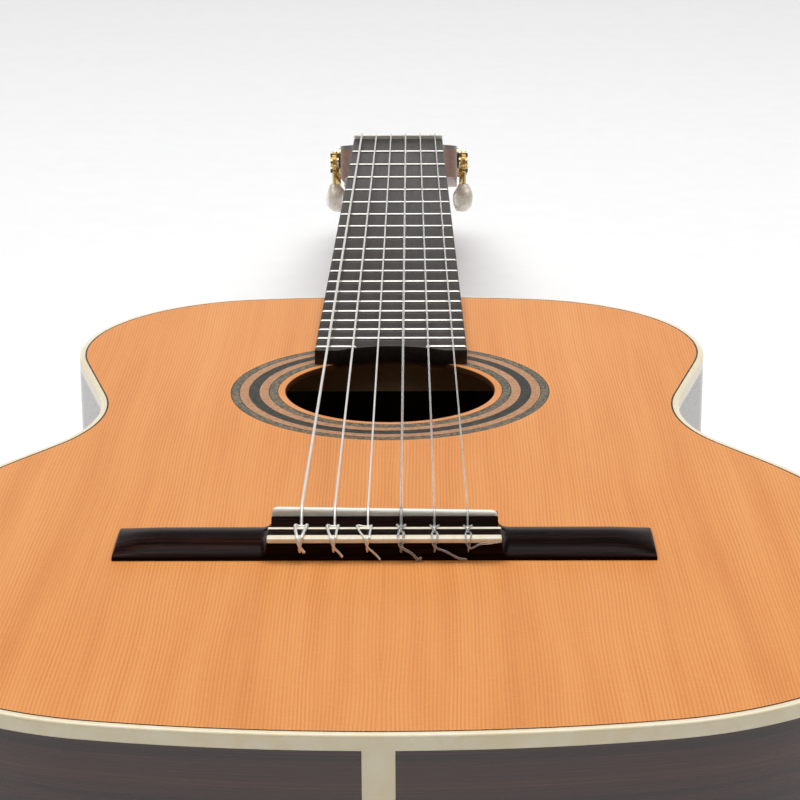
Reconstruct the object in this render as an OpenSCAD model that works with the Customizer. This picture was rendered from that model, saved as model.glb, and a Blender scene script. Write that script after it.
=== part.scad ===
// Classical guitar with a slotted head, laid on its back.
// X runs to the treble side, Y from the tail to the head, Z up out of the soundboard.
// The origin is on the outside of the back, under the middle of the body.

/* [Scale and strings] */
// Distance from the nut to the saddle, before compensation
scale_length = 650; // [645:1:655]
// Extra length at the saddle that corrects the pitch of stopped notes
compensation = 1.5; // [0.5:0.1:2]
// Distance between the outer strings at the nut
nut_spread = 43; // [42:0.5:44]
// Distance between the outer strings at the saddle
saddle_spread = 58; // [57:0.5:59]
// Clearance from the twelfth fret to the first string
action_treble = 2.3; // [2.2:0.1:2.8]
// Clearance from the twelfth fret to the sixth string
action_bass = 2.8; // [2.7:0.1:3.2]

/* [Body] */
// Length of the body
body_length = 487; // [484:1:490]
// Depth of the body from the soundboard to the back
body_depth = 97; // [94:1:100]
// Width of the upper bout
upper_width = 273; // [270:1:276]
// Width of the waist
waist_width = 236; // [233:1:239]
// Width of the lower bout
lower_width = 368; // [364:1:372]
// Thickness of the soundboard
top_thick = 2.4; // [2.2:0.1:2.8]
// Thickness of the back
back_thick = 2.4; // [2.2:0.1:2.8]
// Thickness of the sides, and width of the binding
side_thick = 2.4; // [2.2:0.1:2.6]
// Height of the binding
binding_high = 5; // [4:0.5:6]
// Width of the dark line inside the top binding
purfling_wide = 0.7; // [0.5:0.1:1]
// Radius of the soundhole
soundhole_r = 43.5; // [42:0.5:44]

/* [Neck and head] */
// Width of the nut
nut_width = 52; // [50:0.5:53]
// Width of the neck where it meets the body
joint_width = 62; // [60:0.5:63]
// Thickness of the fingerboard
board_thick = 6.5; // [6:0.1:7]
// Height of a fret above the fingerboard
fret_high = 1.0; // [0.9:0.05:1.2]
// Backward tilt of the head
head_tilt = 15; // [13:0.5:16]
// Thickness of the head with its veneer
head_thick = 19; // [18:0.5:20]

/* [Hidden] */
$fn = 48;
hair = 0.05;                                  // running clearance between parts that turn or only touch
y_joint = body_length / 2;
y_tail = -body_length / 2;
y_nut = y_joint + scale_length / 2;
y_saddle = y_joint - scale_length / 2;        // the twelfth fret is where the neck meets the body
z_top = body_depth;

// Body outline: arcs from the neck to the tail on the treble side
upper_r = 83.2;
upper_y = y_joint - 87;
waist_r = 75;
waist_y = y_joint - 175;
flank_r = 222;
lower_r = 118;
lower_y = y_joint - 363;
upper_c = [upper_width / 2 - upper_r, upper_y];
waist_c = [waist_width / 2 + waist_r, waist_y];
flank_c = [lower_width / 2 - flank_r, lower_y];
lower_c = [lower_width / 2 - lower_r, lower_y];
shoulder_r = cap_radius(upper_c[0], y_joint - upper_y, upper_r);
tail_r = cap_radius(lower_c[0], lower_y - y_tail, lower_r);
shoulder_c = [0, y_joint - shoulder_r];
tail_c = [0, y_tail + tail_r];
upper_waist_a = bearing(waist_c - upper_c) + acos((upper_r + waist_r) / norm(waist_c - upper_c));
flank_waist_a = bearing(waist_c - flank_c) - acos((flank_r + waist_r) / norm(waist_c - flank_c));

// Soundhole and rosette
hole_y = y_saddle + 177;
rosette_r = [46.6, 50.6, 54.4, 58.9, 62.6, 66.4];   // edges of the five inlaid rings
rosette_deep = 1.2;

// Insides
lining_wide = 5;
lining_high = 14;
brace_clear = side_thick + lining_wide + 0.2;
neck_block = [70, 32];
foot_length = 66;
foot_high = 18;
tail_block = [72, 16];
web_wide = 18;
graft_wide = 10;
strip_wide = 6;

// Bridge, measured from the saddle line and from the soundboard
bridge_len = 188.4;
bridge_front = -20.3;
bridge_back = 8;
wing_edge = 1.6;
wing_crown = 4.2;
block_half = 40.6;
tie_high = 8.2;
tie_back = -8.8;
ramp_low = 4.2;                               // foot of the ramp between the tie block and the saddle
ridge_front = -3.6;
ridge_back = 2.2;
ridge_high = 10;
saddle_thick = 2.8;
saddle_foot = 4.2;
hole_in = 5.6;                                // height of a string hole on the saddle side
hole_out = 3.1;                               // and on the tail side
hole_r = 0.95;
inlay_front = [3.4, 1.7];                     // width and depth of the bone strips in the tie block
inlay_back = [2.3, 0.9];

// Fingerboard, frets and nut
board_end = y_saddle + 213;
board_cut_r = 42.6;
fret_count = 19;
fret_wide = 2.4;
tang = [0.6, 1.8];
nut_thick = 6;
nut_lift = 0.3;
fret_z = z_top + board_thick + fret_high;

// Strings, from the first to the sixth
string_d = [0.71, 0.82, 1.02, 0.76, 0.91, 1.12];
wire_sides = 10;
winding_turns = 4;
winding_gap = 0.25;                           // from the string to the turns already on its roller

// Neck
shaft_deep = [15.5, 17];                      // at the nut and at the joint
heel_z = 3.6;
heel_nose = 19;
heel_throat = 60;
heel_half = [13, 31];
cap_thick = 3;
neck_levels = 14;

// Head, in its own tilted frame: y along the head from the nut, z up out of its face
head_half = 35;
head_length = 194;
head_ear = 2.2;                               // how far the head widens below its crest
crest_half = 29.2;
crest_high = 12;
veneer_thick = 2.5;
face_lift = 2.0;
slot_x = [9, 24];
slot_y = [22, 139];
post_y = [49, 84, 119];
post_z = -8.6;
roller_r = 4.95;
pin_r = 3;
stub_r = 2;

// Tuning machines
plate_x = [head_half, head_half + 1.2];
plate_y = [26, 142];
plate_z = [post_z - 7.7, post_z + 7.7];
teeth = 16;
gear_pitch_r = 5.6;
worm_pitch_r = 2.5;
worm_turns = 3;
worm_pitch = 2 * PI * gear_pitch_r / teeth;
worm_round = 2.4;
worm_offset = 0.65;
gear_x = [38.4, 40.6];
worm_x = (gear_x[0] + gear_x[1]) / 2;
worm_dy = gear_pitch_r + worm_pitch_r;
shaft_r = 1.6;
shaft_z = [-29, -1.5];
button_z = [-36.6, -21.6];
button_r = 8.3;
button_flat = 9.4;
button_turn = [20, -30, 8, -14, 38, 5];       // how each knob happens to stand
screw_y = [31, 67, 102, 137.5];
bracket_z = [[post_z - 5.9, post_z - 3.6], [post_z + 3.6, post_z + 5.9]];

// ---------- geometry helpers ----------

function bearing(v) = atan2(v[1], v[0]);
function lerp(a, b, t) = a + (b - a) * t;
function around(c, half) = [c - half, c + half];
function smooth(t) = let (u = min(1, max(0, t))) u * u * (3 - 2 * u);
function polar(a) = [cos(a), sin(a)];
function arc(c, r, a0, a1, n) = [for (i = [0:n]) c + r * polar(lerp(a0, a1, i / n))];

// Radius of the arc centred on the middle line that closes a bout. It touches a circle of radius r whose
// centre is at x, and its top is dy beyond that centre.
function cap_radius(x, dy, r) = (x * x + dy * dy - r * r) / (2 * (dy - r));

// One half of the body outline, moved inwards by inset. Convex arcs shrink and the waist's arc grows.
function half_outline(inset) = concat(
    arc(shoulder_c, shoulder_r - inset, 90, bearing(upper_c - shoulder_c), 4),
    arc(upper_c, upper_r - inset, bearing(upper_c - shoulder_c), upper_waist_a, 22),
    arc(waist_c, waist_r + inset, 180 + upper_waist_a, 180 + flank_waist_a, 12),
    arc(flank_c, flank_r - inset, flank_waist_a, 0, 10),
    arc(lower_c, lower_r - inset, -2, bearing(lower_c - tail_c), 18),
    arc(tail_c, tail_r - inset, bearing(lower_c - tail_c) - 1, -90, 4)
);
function without_last(list) = [for (i = [0:len(list) - 2]) list[i]];
function mirrored(list) = [for (i = [len(list) - 1:-1:0]) [-list[i][0], list[i][1]]];
function outline(inset) =
    let (half = half_outline(inset)) concat(without_last(half), without_last(mirrored(half)));

module span(x, y, z) {
    translate([x[0], y[0], z[0]]) cube([x[1] - x[0], y[1] - y[0], z[1] - z[0]]);
}

module plate(inset, z) {
    translate([0, 0, z[0]]) linear_extrude(z[1] - z[0]) polygon(outline(inset));
}

module hoop(inset, wide, z) {
    difference() {
        plate(inset, z);
        plate(inset + wide, [z[0] - 1, z[1] + 1]);
    }
}

// A straight round rod from p to q
module rod(p, q, r) {
    v = q - p;
    translate(p) rotate([0, acos(v[2] / norm(v)), bearing(v)]) cylinder(h = norm(v), r = r, $fn = 24);
}

// A skin over sections that all have the same number of points
module skin(sections) {
    m = len(sections[0]);
    n = len(sections);
    faces = concat(
        [[for (j = [0:m - 1]) j]],
        [for (i = [0:n - 2], j = [0:m - 1]) let (k = (j + 1) % m) each [
            [i * m + j, (i + 1) * m + j, (i + 1) * m + k],
            [i * m + j, (i + 1) * m + k, i * m + k]]],
        [[for (j = [m - 1:-1:0]) (n - 1) * m + j]]
    );
    polyhedron(points = [for (s = sections, p = s) p], faces = faces, convexity = 6);
}

// A round wire through a list of points. Each section's normal is the last one's, carried over the bend.
function unit(v) = v / norm(v);
function heading(points, i) = unit(
    (i > 0 ? unit(points[i] - points[i - 1]) : [0, 0, 0])
    + (i < len(points) - 1 ? unit(points[i + 1] - points[i]) : [0, 0, 0]));
function carried(points, i) =
    let (t = heading(points, i), last = i > 0 ? carried(points, i - 1) : cross(t, [0.2, 0.3, 1]))
    unit(last - (last * t) * t);
function wire_ring(points, i, r) =
    let (t = heading(points, i), n = carried(points, i), b = cross(t, n))
    [for (k = [0:wire_sides - 1]) let (a = 360 * k / wire_sides) points[i] + r * (cos(a) * n + sin(a) * b)];

module wire(points, r) {
    skin([for (i = [len(points) - 1:-1:0]) wire_ring(points, i, r)]);
}

// A round bar along x at height z, from x0 to x1
module bar_x(x, y, z, r) {
    translate([min(x[0], x[1]), y, z]) rotate([0, 90, 0]) cylinder(h = abs(x[1] - x[0]), r = r);
}

// ---------- body ----------

module soundboard() {
    color("#d8955a") difference() {
        plate(side_thick + purfling_wide, [z_top - top_thick, z_top]);
        translate([0, hole_y, z_top - 5]) cylinder(h = 10, r = soundhole_r, $fn = 96);
        translate([0, hole_y, z_top - rosette_deep]) ring(rosette_r[0], rosette_r[5], 3);
    }
}

module ring(r0, r1, h) {
    difference() {
        cylinder(h = h, r = r1, $fn = 96);
        translate([0, 0, -1]) cylinder(h = h + 2, r = r0, $fn = 96);
    }
}

module rosette() {
    shades = ["#6f746c", "#c08a62", "#2e332f", "#c08a62", "#6f746c"];
    for (i = [0:4]) color(shades[i])
        translate([0, hole_y, z_top - rosette_deep]) ring(rosette_r[i], rosette_r[i + 1], rosette_deep);
}

module top_purfling() {
    color("#2a1d16") hoop(side_thick, purfling_wide, [z_top - top_thick, z_top]);
}

module top_binding() {
    color("#ecdcb4") hoop(0, side_thick, [z_top - binding_high, z_top]);
}

module back_binding() {
    color("#ecdcb4") hoop(0, side_thick, [0, binding_high]);
}

module back_plate(side) {
    x = side > 0 ? [strip_wide / 2, lower_width] : [-lower_width, -strip_wide / 2];
    color("#4a2c22") intersection() {
        plate(side_thick, [0, back_thick]);
        span(x, [-body_length, body_length], [-1, 10]);
    }
}

module back_strip() {
    color("#b98a55") intersection() {
        plate(side_thick, [0, back_thick]);
        span([-strip_wide / 2, strip_wide / 2], [-body_length, body_length], [-1, 10]);
    }
}

module side(direction) {
    color("#4a2c22") difference() {
        hoop(0, side_thick, [binding_high, z_top - binding_high]);
        span(direction > 0 ? [-lower_width, 0] : [0, lower_width], [-body_length, body_length], [0, z_top]);
        span([-graft_wide / 2, graft_wide / 2], [-body_length, 0], [0, z_top]);
        span([-web_wide / 2, web_wide / 2], [0, body_length], [0, z_top]);
    }
}

module end_graft() {
    color("#ecdcb4") intersection() {
        hoop(0, side_thick, [binding_high, z_top - binding_high]);
        span([-graft_wide / 2, graft_wide / 2], [-body_length, 0], [0, z_top]);
    }
}

module linings() {
    top_z = [z_top - top_thick - lining_high, z_top - top_thick];
    back_z = [back_thick, back_thick + lining_high];
    color("#c9a26b") difference() {
        union() {
            hoop(side_thick, lining_wide, top_z);
            hoop(side_thick, lining_wide, back_z);
        }
        span([-1, 1] * (neck_block[0] / 2 + hair), [y_joint - 60, y_joint + 5], [0, z_top]);
        span([-1, 1] * (tail_block[0] / 2 + hair), [y_tail - 5, y_tail + 40], [0, z_top]);
    }
}

// The block that the sides are let into, with the foot that reaches along the back
module neck_block() {
    x = [-1, 1] * neck_block[0] / 2;
    low = back_thick;
    high = z_top - top_thick;
    color("#8d5a3a") union() {
        intersection() {
            plate(side_thick, [low, high]);
            union() {
                span(x, [y_joint - neck_block[1], y_joint + 5], [0, z_top]);
                span(x, [y_joint - foot_length, y_joint + 5], [0, low + foot_high]);
            }
        }
        span([-1, 1] * (web_wide / 2), [y_joint - 3, y_joint], [binding_high, z_top - binding_high]);
    }
}

module tail_block() {
    color("#8d5a3a") intersection() {
        plate(side_thick, [back_thick, z_top - top_thick]);
        span([-1, 1] * tail_block[0] / 2, [y_tail - 5, y_tail + side_thick + tail_block[1]], [0, z_top]);
    }
}

// A straight strut glued under the soundboard, centred at p and turned by a
module strut(p, a, len, wide, high) {
    translate([p[0], p[1], z_top - top_thick - high]) rotate(a)
        translate([-wide / 2, -len / 2, 0]) cube([wide, len, high]);
}

module patch_shape() {
    span([-86, 86], [y_saddle - 23, y_saddle + 11], [z_top - top_thick - 1.8, z_top - top_thick]);
}

module bridge_patch() {
    color("#c9a26b") patch_shape();
}

module top_braces() {
    fan_apex = y_joint + 20;
    fan_reach = 345;
    fan_len = 205;
    color("#d9bf8a") {
        difference() {
            for (a = [-15:5:15])
                strut([-fan_reach * sin(a), fan_apex - fan_reach * cos(a)], -a, fan_len - abs(a), 4, 5);
            patch_shape();
        }
        for (s = [-1, 1]) strut([s * 52, y_tail + 44], s * 73, 84, 4, 4);
        intersection() {
            plate(brace_clear, [0, z_top]);
            for (y = [hole_y - 60, hole_y + 56]) strut([0, y], 90, 400, 6, 15);
        }
    }
}

module back_braces() {
    color("#d9bf8a") intersection() {
        plate(brace_clear, [0, z_top]);
        for (y = [-150, -20, 105])
            span([-lower_width, lower_width], [y - 3.5, y + 3.5], [back_thick, back_thick + 13]);
    }
}

// ---------- neck ----------

function neck_half(y) = y > y_nut ? nut_width / 2
    : lerp(nut_width, joint_width, (y_nut - y) / (y_nut - y_joint)) / 2;
function head_blend(y) = smooth((y - (y_nut - 26)) / (26 + nut_thick));
function plain_deep(y) = lerp(shaft_deep[0], shaft_deep[1], max(0, y_nut - y) / (y_nut - y_joint));
function shaft_depth(y) = lerp(plain_deep(y), head_thick / cos(head_tilt) - face_lift, head_blend(y));
function shaft_power(y) = lerp(2.3, 7, head_blend(y));
heel_deep = z_top - heel_z;
function throat_t(y) = (y - y_joint - heel_nose) / (heel_throat - heel_nose);

// Depth of the wood under the fingerboard: the whole heel, then a quarter ellipse, then the shaft
function neck_depth(y) =
    let (t = min(1, max(0, throat_t(y))), d = shaft_depth(y))
    d + (heel_deep - d) * (1 - sqrt(1 - (1 - t) * (1 - t)));

function shaft_x(y, deep) =
    let (p = shaft_power(y), u = min(1, deep / shaft_depth(y))) neck_half(y) * pow(1 - pow(u, p), 1 / p);

// How far the heel reaches from the body at a depth
function nose_y(deep) =
    let (d = shaft_deep[1], v = min(1, max(0, (deep - d) / (heel_deep - d))))
    heel_nose + (heel_throat - heel_nose) * (1 - sqrt(1 - (1 - v) * (1 - v)));

function heel_x(y, deep) =
    let (u = min(1, (y - y_joint) / nose_y(deep)))
    lerp(heel_half[0], heel_half[1], pow(1 - deep / heel_deep, 1.8)) * sqrt(1 - u * u);

function neck_x(y, deep) = max(shaft_x(y, deep), heel_x(y, deep), 0.4);

function neck_side(y) =
    let (d = neck_depth(y), heel = (d - shaft_depth(y)) / heel_deep, p = shaft_power(y))
    [for (k = [0:neck_levels])
        let (share = lerp(pow(sin(90 * k / neck_levels), 2 / p), k / neck_levels, heel))
        [neck_x(y, d * share), y, z_top - d * share]];

function neck_section(y) =
    let (right = neck_side(y)) concat(right, [for (i = [neck_levels:-1:0]) [-right[i][0], y, right[i][2]]]);

neck_y = concat(
    [for (u = [0, 0.3, 0.55, 0.75, 0.88, 0.96, 1]) y_joint + heel_nose * u],
    [for (t = [0.003, 0.015, 0.04, 0.08, 0.14, 0.22, 0.32, 0.45, 0.6, 0.78, 1])
        y_joint + lerp(heel_nose, heel_throat, t)],
    [for (u = [1:8]) lerp(y_joint + heel_throat, y_nut - 26, u / 8)],
    [for (u = [1:6]) lerp(y_nut - 26, y_nut + nut_thick, u / 6)]
);

module neck() {
    color("#96603c") skin([for (y = neck_y) neck_section(y)]);
}

module heel_cap() {
    edge = [for (i = [0:16]) let (a = 180 * i / 16) [heel_half[0] * cos(a), heel_nose * sin(a)]];
    color("#4a2c22") translate([0, y_joint, heel_z - cap_thick]) linear_extrude(cap_thick) polygon(edge);
}

// ---------- head ----------

head_origin = [0, y_nut + nut_thick, z_top + face_lift];
function head_point(p) = head_origin
    + [p[0], p[1] * cos(head_tilt) + p[2] * sin(head_tilt), -p[1] * sin(head_tilt) + p[2] * cos(head_tilt)];

module in_head() {
    translate(head_origin) rotate([-head_tilt, 0, 0]) children();
}

// Right half of the head: the flare from the nut, straight cheeks, a shoulder and an arched crest
head_edge = concat(
    [[nut_width / 2, -8]],
    [for (i = [0:8]) [lerp(nut_width / 2, head_half, smooth(i / 8)), lerp(2, 24, i / 8)]],
    [for (i = [0:6]) [
        head_half + head_ear * smooth(i / 6),
        lerp(head_length - crest_high - 34, head_length - crest_high - 4, i / 6)]],
    [for (i = [0:4]) let (a = 90 * i / 4)
        [crest_half + 4 - 4 * sin(a), head_length - crest_high - 4 * cos(a)]],
    [for (i = [0:12]) let (a = 90 * i / 12)
        [crest_half * cos(a), head_length - crest_high * (1 - sin(a))]]
);

module head_blank(z) {
    intersection() {
        in_head() translate([0, 0, z[0]]) linear_extrude(z[1] - z[0])
            polygon(concat(head_edge, mirrored(without_last(head_edge))));
        span([-100, 100], [y_nut + nut_thick, y_nut + 400], [-100, 200]);
    }
}

module slots() {
    mid = (slot_x[0] + slot_x[1]) / 2;
    r = (slot_x[1] - slot_x[0]) / 2;
    in_head() for (s = [-1, 1]) {
        translate([s * mid - r, slot_y[0] + r, -40]) cube([2 * r, slot_y[1] - slot_y[0] - 2 * r, 60]);
        for (y = [slot_y[0] + r, slot_y[1] - r]) translate([s * mid, y, -40]) cylinder(h = 60, r = r);
    }
}

module headstock() {
    color("#96603c") difference() {
        head_blank([-head_thick, -veneer_thick]);
        slots();
        in_head() for (y = post_y, s = [-1, 1]) {
            bar_x([s * slot_x[1] - s * 2, s * 60], y, post_z, roller_r + hair);
            bar_x([s * 2.5, s * (slot_x[0] + 2)], y, post_z, pin_r + hair);
        }
        in_head() for (y = screw_y, s = [-1, 1]) bar_x([s * 28.5, s * 50], y, post_z, 1);
    }
}

module head_veneer() {
    color("#3c241c") difference() {
        head_blank([-veneer_thick, 0]);
        slots();
    }
}

// ---------- fingerboard ----------

function board_half(y) = nut_width / 2 + (joint_width - nut_width) / 2 * (y_nut - y) / (y_nut - y_joint);
function fret_y(n) = y_saddle + scale_length * pow(2, -n / 12);

module hole_arc(z) {
    translate([0, hole_y, z[0]]) cylinder(h = z[1] - z[0], r = board_cut_r, $fn = 96);
}

module fingerboard() {
    color("#332824") difference() {
        translate([0, 0, z_top]) linear_extrude(board_thick) polygon([
            [-board_half(board_end), board_end], [board_half(board_end), board_end],
            [nut_width / 2, y_nut], [-nut_width / 2, y_nut]]);
        hole_arc([z_top - 5, z_top + 20]);
        for (n = [1:fret_count]) span(
            [-50, 50], around(fret_y(n), tang[0] / 2),
            [z_top + board_thick - tang[1], z_top + board_thick + 5]);
    }
}

module frets() {
    crown_r = (pow(fret_wide / 2, 2) + pow(fret_high, 2)) / (2 * fret_high);
    z = z_top + board_thick;
    color("#c9c6bd") difference() {
        for (n = [1:fret_count]) {
            x = [-1, 1] * (board_half(fret_y(n)) - 0.15);
            intersection() {
                bar_x(x, fret_y(n), z + fret_high - crown_r, crown_r);
                span([-50, 50], [-900, 900], [z, z + 5]);
            }
            span(x, around(fret_y(n), tang[0] / 2), [z - tang[1], z + fret_high / 2]);
        }
        hole_arc([z_top - 5, z_top + 20]);
    }
}

// ---------- strings ----------

function r_of(i) = string_d[i - 1] / 2;
function x_nut(i) = nut_spread / 2 - (i - 1) * nut_spread / 5;
function x_saddle(i) = saddle_spread / 2 - (i - 1) * saddle_spread / 5;
z_nut = fret_z + nut_lift;
function action(i) = lerp(action_treble, action_bass, (i - 1) / 5);
function z_saddle(i) = z_nut + 2 * (fret_z + action(i) - z_nut);
y_contact = y_saddle - compensation;
function side_of(i) = i <= 3 ? 1 : -1;
function post_of(i) = i <= 3 ? i - 1 : 6 - i;
post_x = [20.4, 15.6, 14];                    // where a string reaches its roller, by post
function winding_way(i) = post_of(i) == 2 ? 1 : -1;

// Where a string leaves its straight line and starts round the roller, as [y, z] in the head's frame
function tangent_point(i) =
    let (
        r = roller_r + hair + r_of(i),
        from = [1.6, z_nut - z_top - face_lift + r_of(i)],
        post = [post_y[post_of(i)], post_z],
        v = from - post,
        a = bearing(v) - acos(r / norm(v))
    ) post + r * [cos(a), sin(a)];

// The knot: from the free end up over the tie block, round the string behind it, back over and into the hole
function knot_path(i) =
    let (
        g = r_of(i) + hair,
        x = x_saddle(i),
        front = y_saddle + bridge_front,
        back = y_saddle + tie_back,
        high = z_top + tie_high
    ) [
        [x + 4.8, front - g - r_of(i), z_top + 2.6],
        [x + 1.7, front - g, high - 2],
        [x + 1.2, front - 0.75 * g, high + 0.75 * g],
        [x + 1.4, front + 0.6, high + g],
        [x + 2.3, back - 0.4, high + g],
        [x + 2.2, back + 0.75 * g, high + 0.75 * g],
        [x + 1.2, back + g + 0.1, high - 0.1],
        [x, back + g + 0.1, high - 0.3],
        [x - 1.2, back + g + 0.1, high - 0.1],
        [x - 2.2, back + 0.75 * g, high + 0.75 * g],
        [x - 2.3, back - 0.4, high + g],
        [x - 1.4, front + 0.6, high + g],
        [x - 1.1, front - 0.75 * g, high + 0.75 * g],
        [x - 0.7, front - g, high - 2],
        [x - 0.1, front - g, z_top + hole_out + 0.8],
        [x, front - 0.3, z_top + hole_out]
    ];

// From the tie block over the saddle and the nut to the roller
function span_path(i) =
    let (g = r_of(i) + hair, x = x_saddle(i), t = tangent_point(i))
    [
        [x, y_saddle + tie_back, z_top + hole_in],
        [x, y_contact - saddle_thick / 2, z_saddle(i) + g],
        [x, y_contact + saddle_thick / 2, z_saddle(i) + g],
        nut_in(i),
        nut_out(i),
        head_point([side_of(i) * post_x[post_of(i)], t[0], t[1]])
    ];
function nut_in(i) = [x_nut(i), y_nut, z_nut + r_of(i) + hair];
function nut_out(i) = [x_nut(i), y_nut + nut_thick, z_nut + r_of(i) + hair - 0.1];

module string(i) {
    color(i <= 3 ? "#e9e4d8" : "#cfc8ba") wire(concat(knot_path(i), span_path(i)), r_of(i));
}

module nut() {
    color("#f1e9d2") difference() {
        span([-1, 1] * nut_width / 2, [y_nut, y_nut + nut_thick], [z_top, z_nut + 0.9]);
        for (i = [1:6]) {
            slope = unit(nut_out(i) - nut_in(i));
            rod(nut_in(i) - 2 * slope, nut_out(i) + 2 * slope, r_of(i) + hair);
            span(around(x_nut(i), r_of(i) + hair), [y_nut - 1, y_nut + nut_thick + 1],
                [z_nut + r_of(i), z_nut + 5]);
        }
    }
}

// ---------- bridge ----------

module bridge_frame() {
    translate([0, y_saddle, z_top]) children();
}

// Extrudes an outline drawn in y and z along x, from -half to half
module along_x(half) {
    translate([-half, 0, 0]) rotate([90, 0, 90]) linear_extrude(2 * half) children();
}

// The block between the wings: tie block, ramp up to the saddle ridge, and a slope down behind it
block_profile = [
    [bridge_front, 0], [bridge_front, tie_high], [tie_back, tie_high], [tie_back, ramp_low],
    [ridge_front, ridge_high], [ridge_back, ridge_high], [bridge_back - 2, 6], [bridge_back, 3],
    [bridge_back, 0]
];

// A wing: an arched strip with a thin edge all round
module wings() {
    mid = (bridge_front + bridge_back) / 2;
    rise = wing_crown - wing_edge;
    crown_r = (pow((bridge_back - bridge_front) / 2, 2) + rise * rise) / (2 * rise);
    intersection() {
        span([-1, 1] * bridge_len / 2, [bridge_front, bridge_back], [0, tie_high]);
        translate([-bridge_len, mid, wing_crown - crown_r]) rotate([0, 90, 0])
            cylinder(h = 2 * bridge_len, r = crown_r, $fn = 96);
    }
}

// Where the string holes start and end, outside both faces of the tie block
function hole_end(i, y) =
    [x_saddle(i), y, lerp(hole_out, hole_in, (y - bridge_front) / (tie_back - bridge_front))];

module bridge() {
    color("#33201a") bridge_frame() difference() {
        union() {
            wings();
            along_x(block_half) polygon(block_profile);
        }
        span([-100, 100], around(-compensation, saddle_thick / 2), [saddle_foot, 20]);
        span([-100, 100], [bridge_front - 1, bridge_front + inlay_front[0]], [tie_high - inlay_front[1], 20]);
        span([-100, 100], [tie_back - inlay_back[0], tie_back + 0.01], [tie_high - inlay_back[1], 20]);
        for (i = [1:6]) rod(hole_end(i, bridge_front - 2), hole_end(i, tie_back + 2), hole_r);
    }
}

module tie_block_inlays() {
    color("#f0e2bd") bridge_frame() {
        span([-1, 1] * block_half, [bridge_front, bridge_front + inlay_front[0]],
            [tie_high - inlay_front[1], tie_high]);
        span([-1, 1] * block_half, [tie_back - inlay_back[0], tie_back],
            [tie_high - inlay_back[1], tie_high]);
    }
}

module saddle() {
    half = block_half - 0.9;
    high = [for (i = [6, 1]) z_saddle(i) - z_top];
    reach = half / (saddle_spread / 2);
    mean = (high[0] + high[1]) / 2;
    tilt = (high[1] - high[0]) / 2 * reach;
    color("#f4edd8") bridge_frame() translate([0, -compensation + saddle_thick / 2, 0]) rotate([90, 0, 0])
        linear_extrude(saddle_thick) polygon([
            [-half, saddle_foot], [half, saddle_foot],
            [half, mean + tilt - 1.5], [half - 1.5, mean + tilt * (1 - 1.5 / half)],
            [-half + 1.5, mean - tilt * (1 - 1.5 / half)], [-half, mean - tilt - 1.5]]);
}

// ---------- tuning machines ----------

module rounded_box(y, z, r) {
    translate([y[0] + r, z[0]]) square([y[1] - y[0] - 2 * r, z[1] - z[0]]);
    translate([y[0], z[0] + r]) square([y[1] - y[0], z[1] - z[0] - 2 * r]);
    for (a = [y[0] + r, y[1] - r], b = [z[0] + r, z[1] - r]) translate([a, b]) circle(r = r);
}

module tuner_plate(s) {
    color("#b08d4a") in_head() difference() {
        union() {
            translate([s > 0 ? plate_x[0] : -plate_x[1], 0, 0]) rotate([90, 0, 90])
                linear_extrude(plate_x[1] - plate_x[0]) rounded_box(plate_y, plate_z, 4);
            for (y = post_y, z = bracket_z)
                span(s > 0 ? [plate_x[1] - 0.2, worm_x + 2.6] : [-worm_x - 2.6, 0.2 - plate_x[1]],
                    [y + worm_dy - 2.9, y + worm_dy + 2.9], z);
        }
        for (y = post_y) {
            bar_x([s * 30, s * 38], y, post_z, pin_r + hair);
            translate([s * worm_x, y + worm_dy, -30]) cylinder(h = 40, r = shaft_r + hair);
        }
        for (y = screw_y) bar_x([s * 30, s * 38], y, post_z, 1);
    }
}

module plate_screws() {
    color("#c8a45a") in_head() for (s = [-1, 1], y = screw_y) difference() {
        union() {
            bar_x([s * 28.6, s * (plate_x[1] + 0.4)], y, post_z, 1);
            bar_x([s * plate_x[1], s * (plate_x[1] + 1)], y, post_z, 2);
        }
        translate([s * (plate_x[1] + 1), y, post_z]) cube([0.9, 0.5, 5], center = true);
    }
}

module roller(i) {
    s = side_of(i);
    y = post_y[post_of(i)];
    inner = s * (post_x[post_of(i)] + winding_way(i) * (r_of(i) + winding_gap));
    outer = inner + s * winding_way(i) * winding_turns * string_d[i - 1];
    in_head() {
        color("#efe7d3") difference() {
            union() {
                bar_x([s * 3, s * 12], y, post_z, pin_r);
                bar_x([s * (slot_x[0] + 0.2), s * (head_half - 0.1)], y, post_z, roller_r);
                bar_x([s * 30, s * (gear_x[0] - 0.1)], y, post_z, pin_r);
                bar_x([s * 30, s * gear_x[1]], y, post_z, stub_r);
            }
            bar_x([s * 35, s * 50], y, post_z, 0.9);
        }
        color("#cfc8ba") difference() {
            bar_x([inner, outer], y, post_z, roller_r + hair / 2 + string_d[i - 1]);
            bar_x([inner - s * winding_way(i), outer + s * winding_way(i)], y, post_z, roller_r + hair / 2);
        }
    }
}

// Radius and half angle of each corner on one side of a tooth, from its root to its tip
tooth = [[4.75, 8.7], [5.6, 4.1], [6.0, 1.7]];
gear_edge = [for (k = [0:teeth - 1]) each concat(
    [for (c = tooth) c[0] * [cos(360 * k / teeth - c[1]), sin(360 * k / teeth - c[1])]],
    [for (j = [2:-1:0]) let (c = tooth[j]) c[0] * [cos(360 * k / teeth + c[1]), sin(360 * k / teeth + c[1])]]
)];

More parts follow.
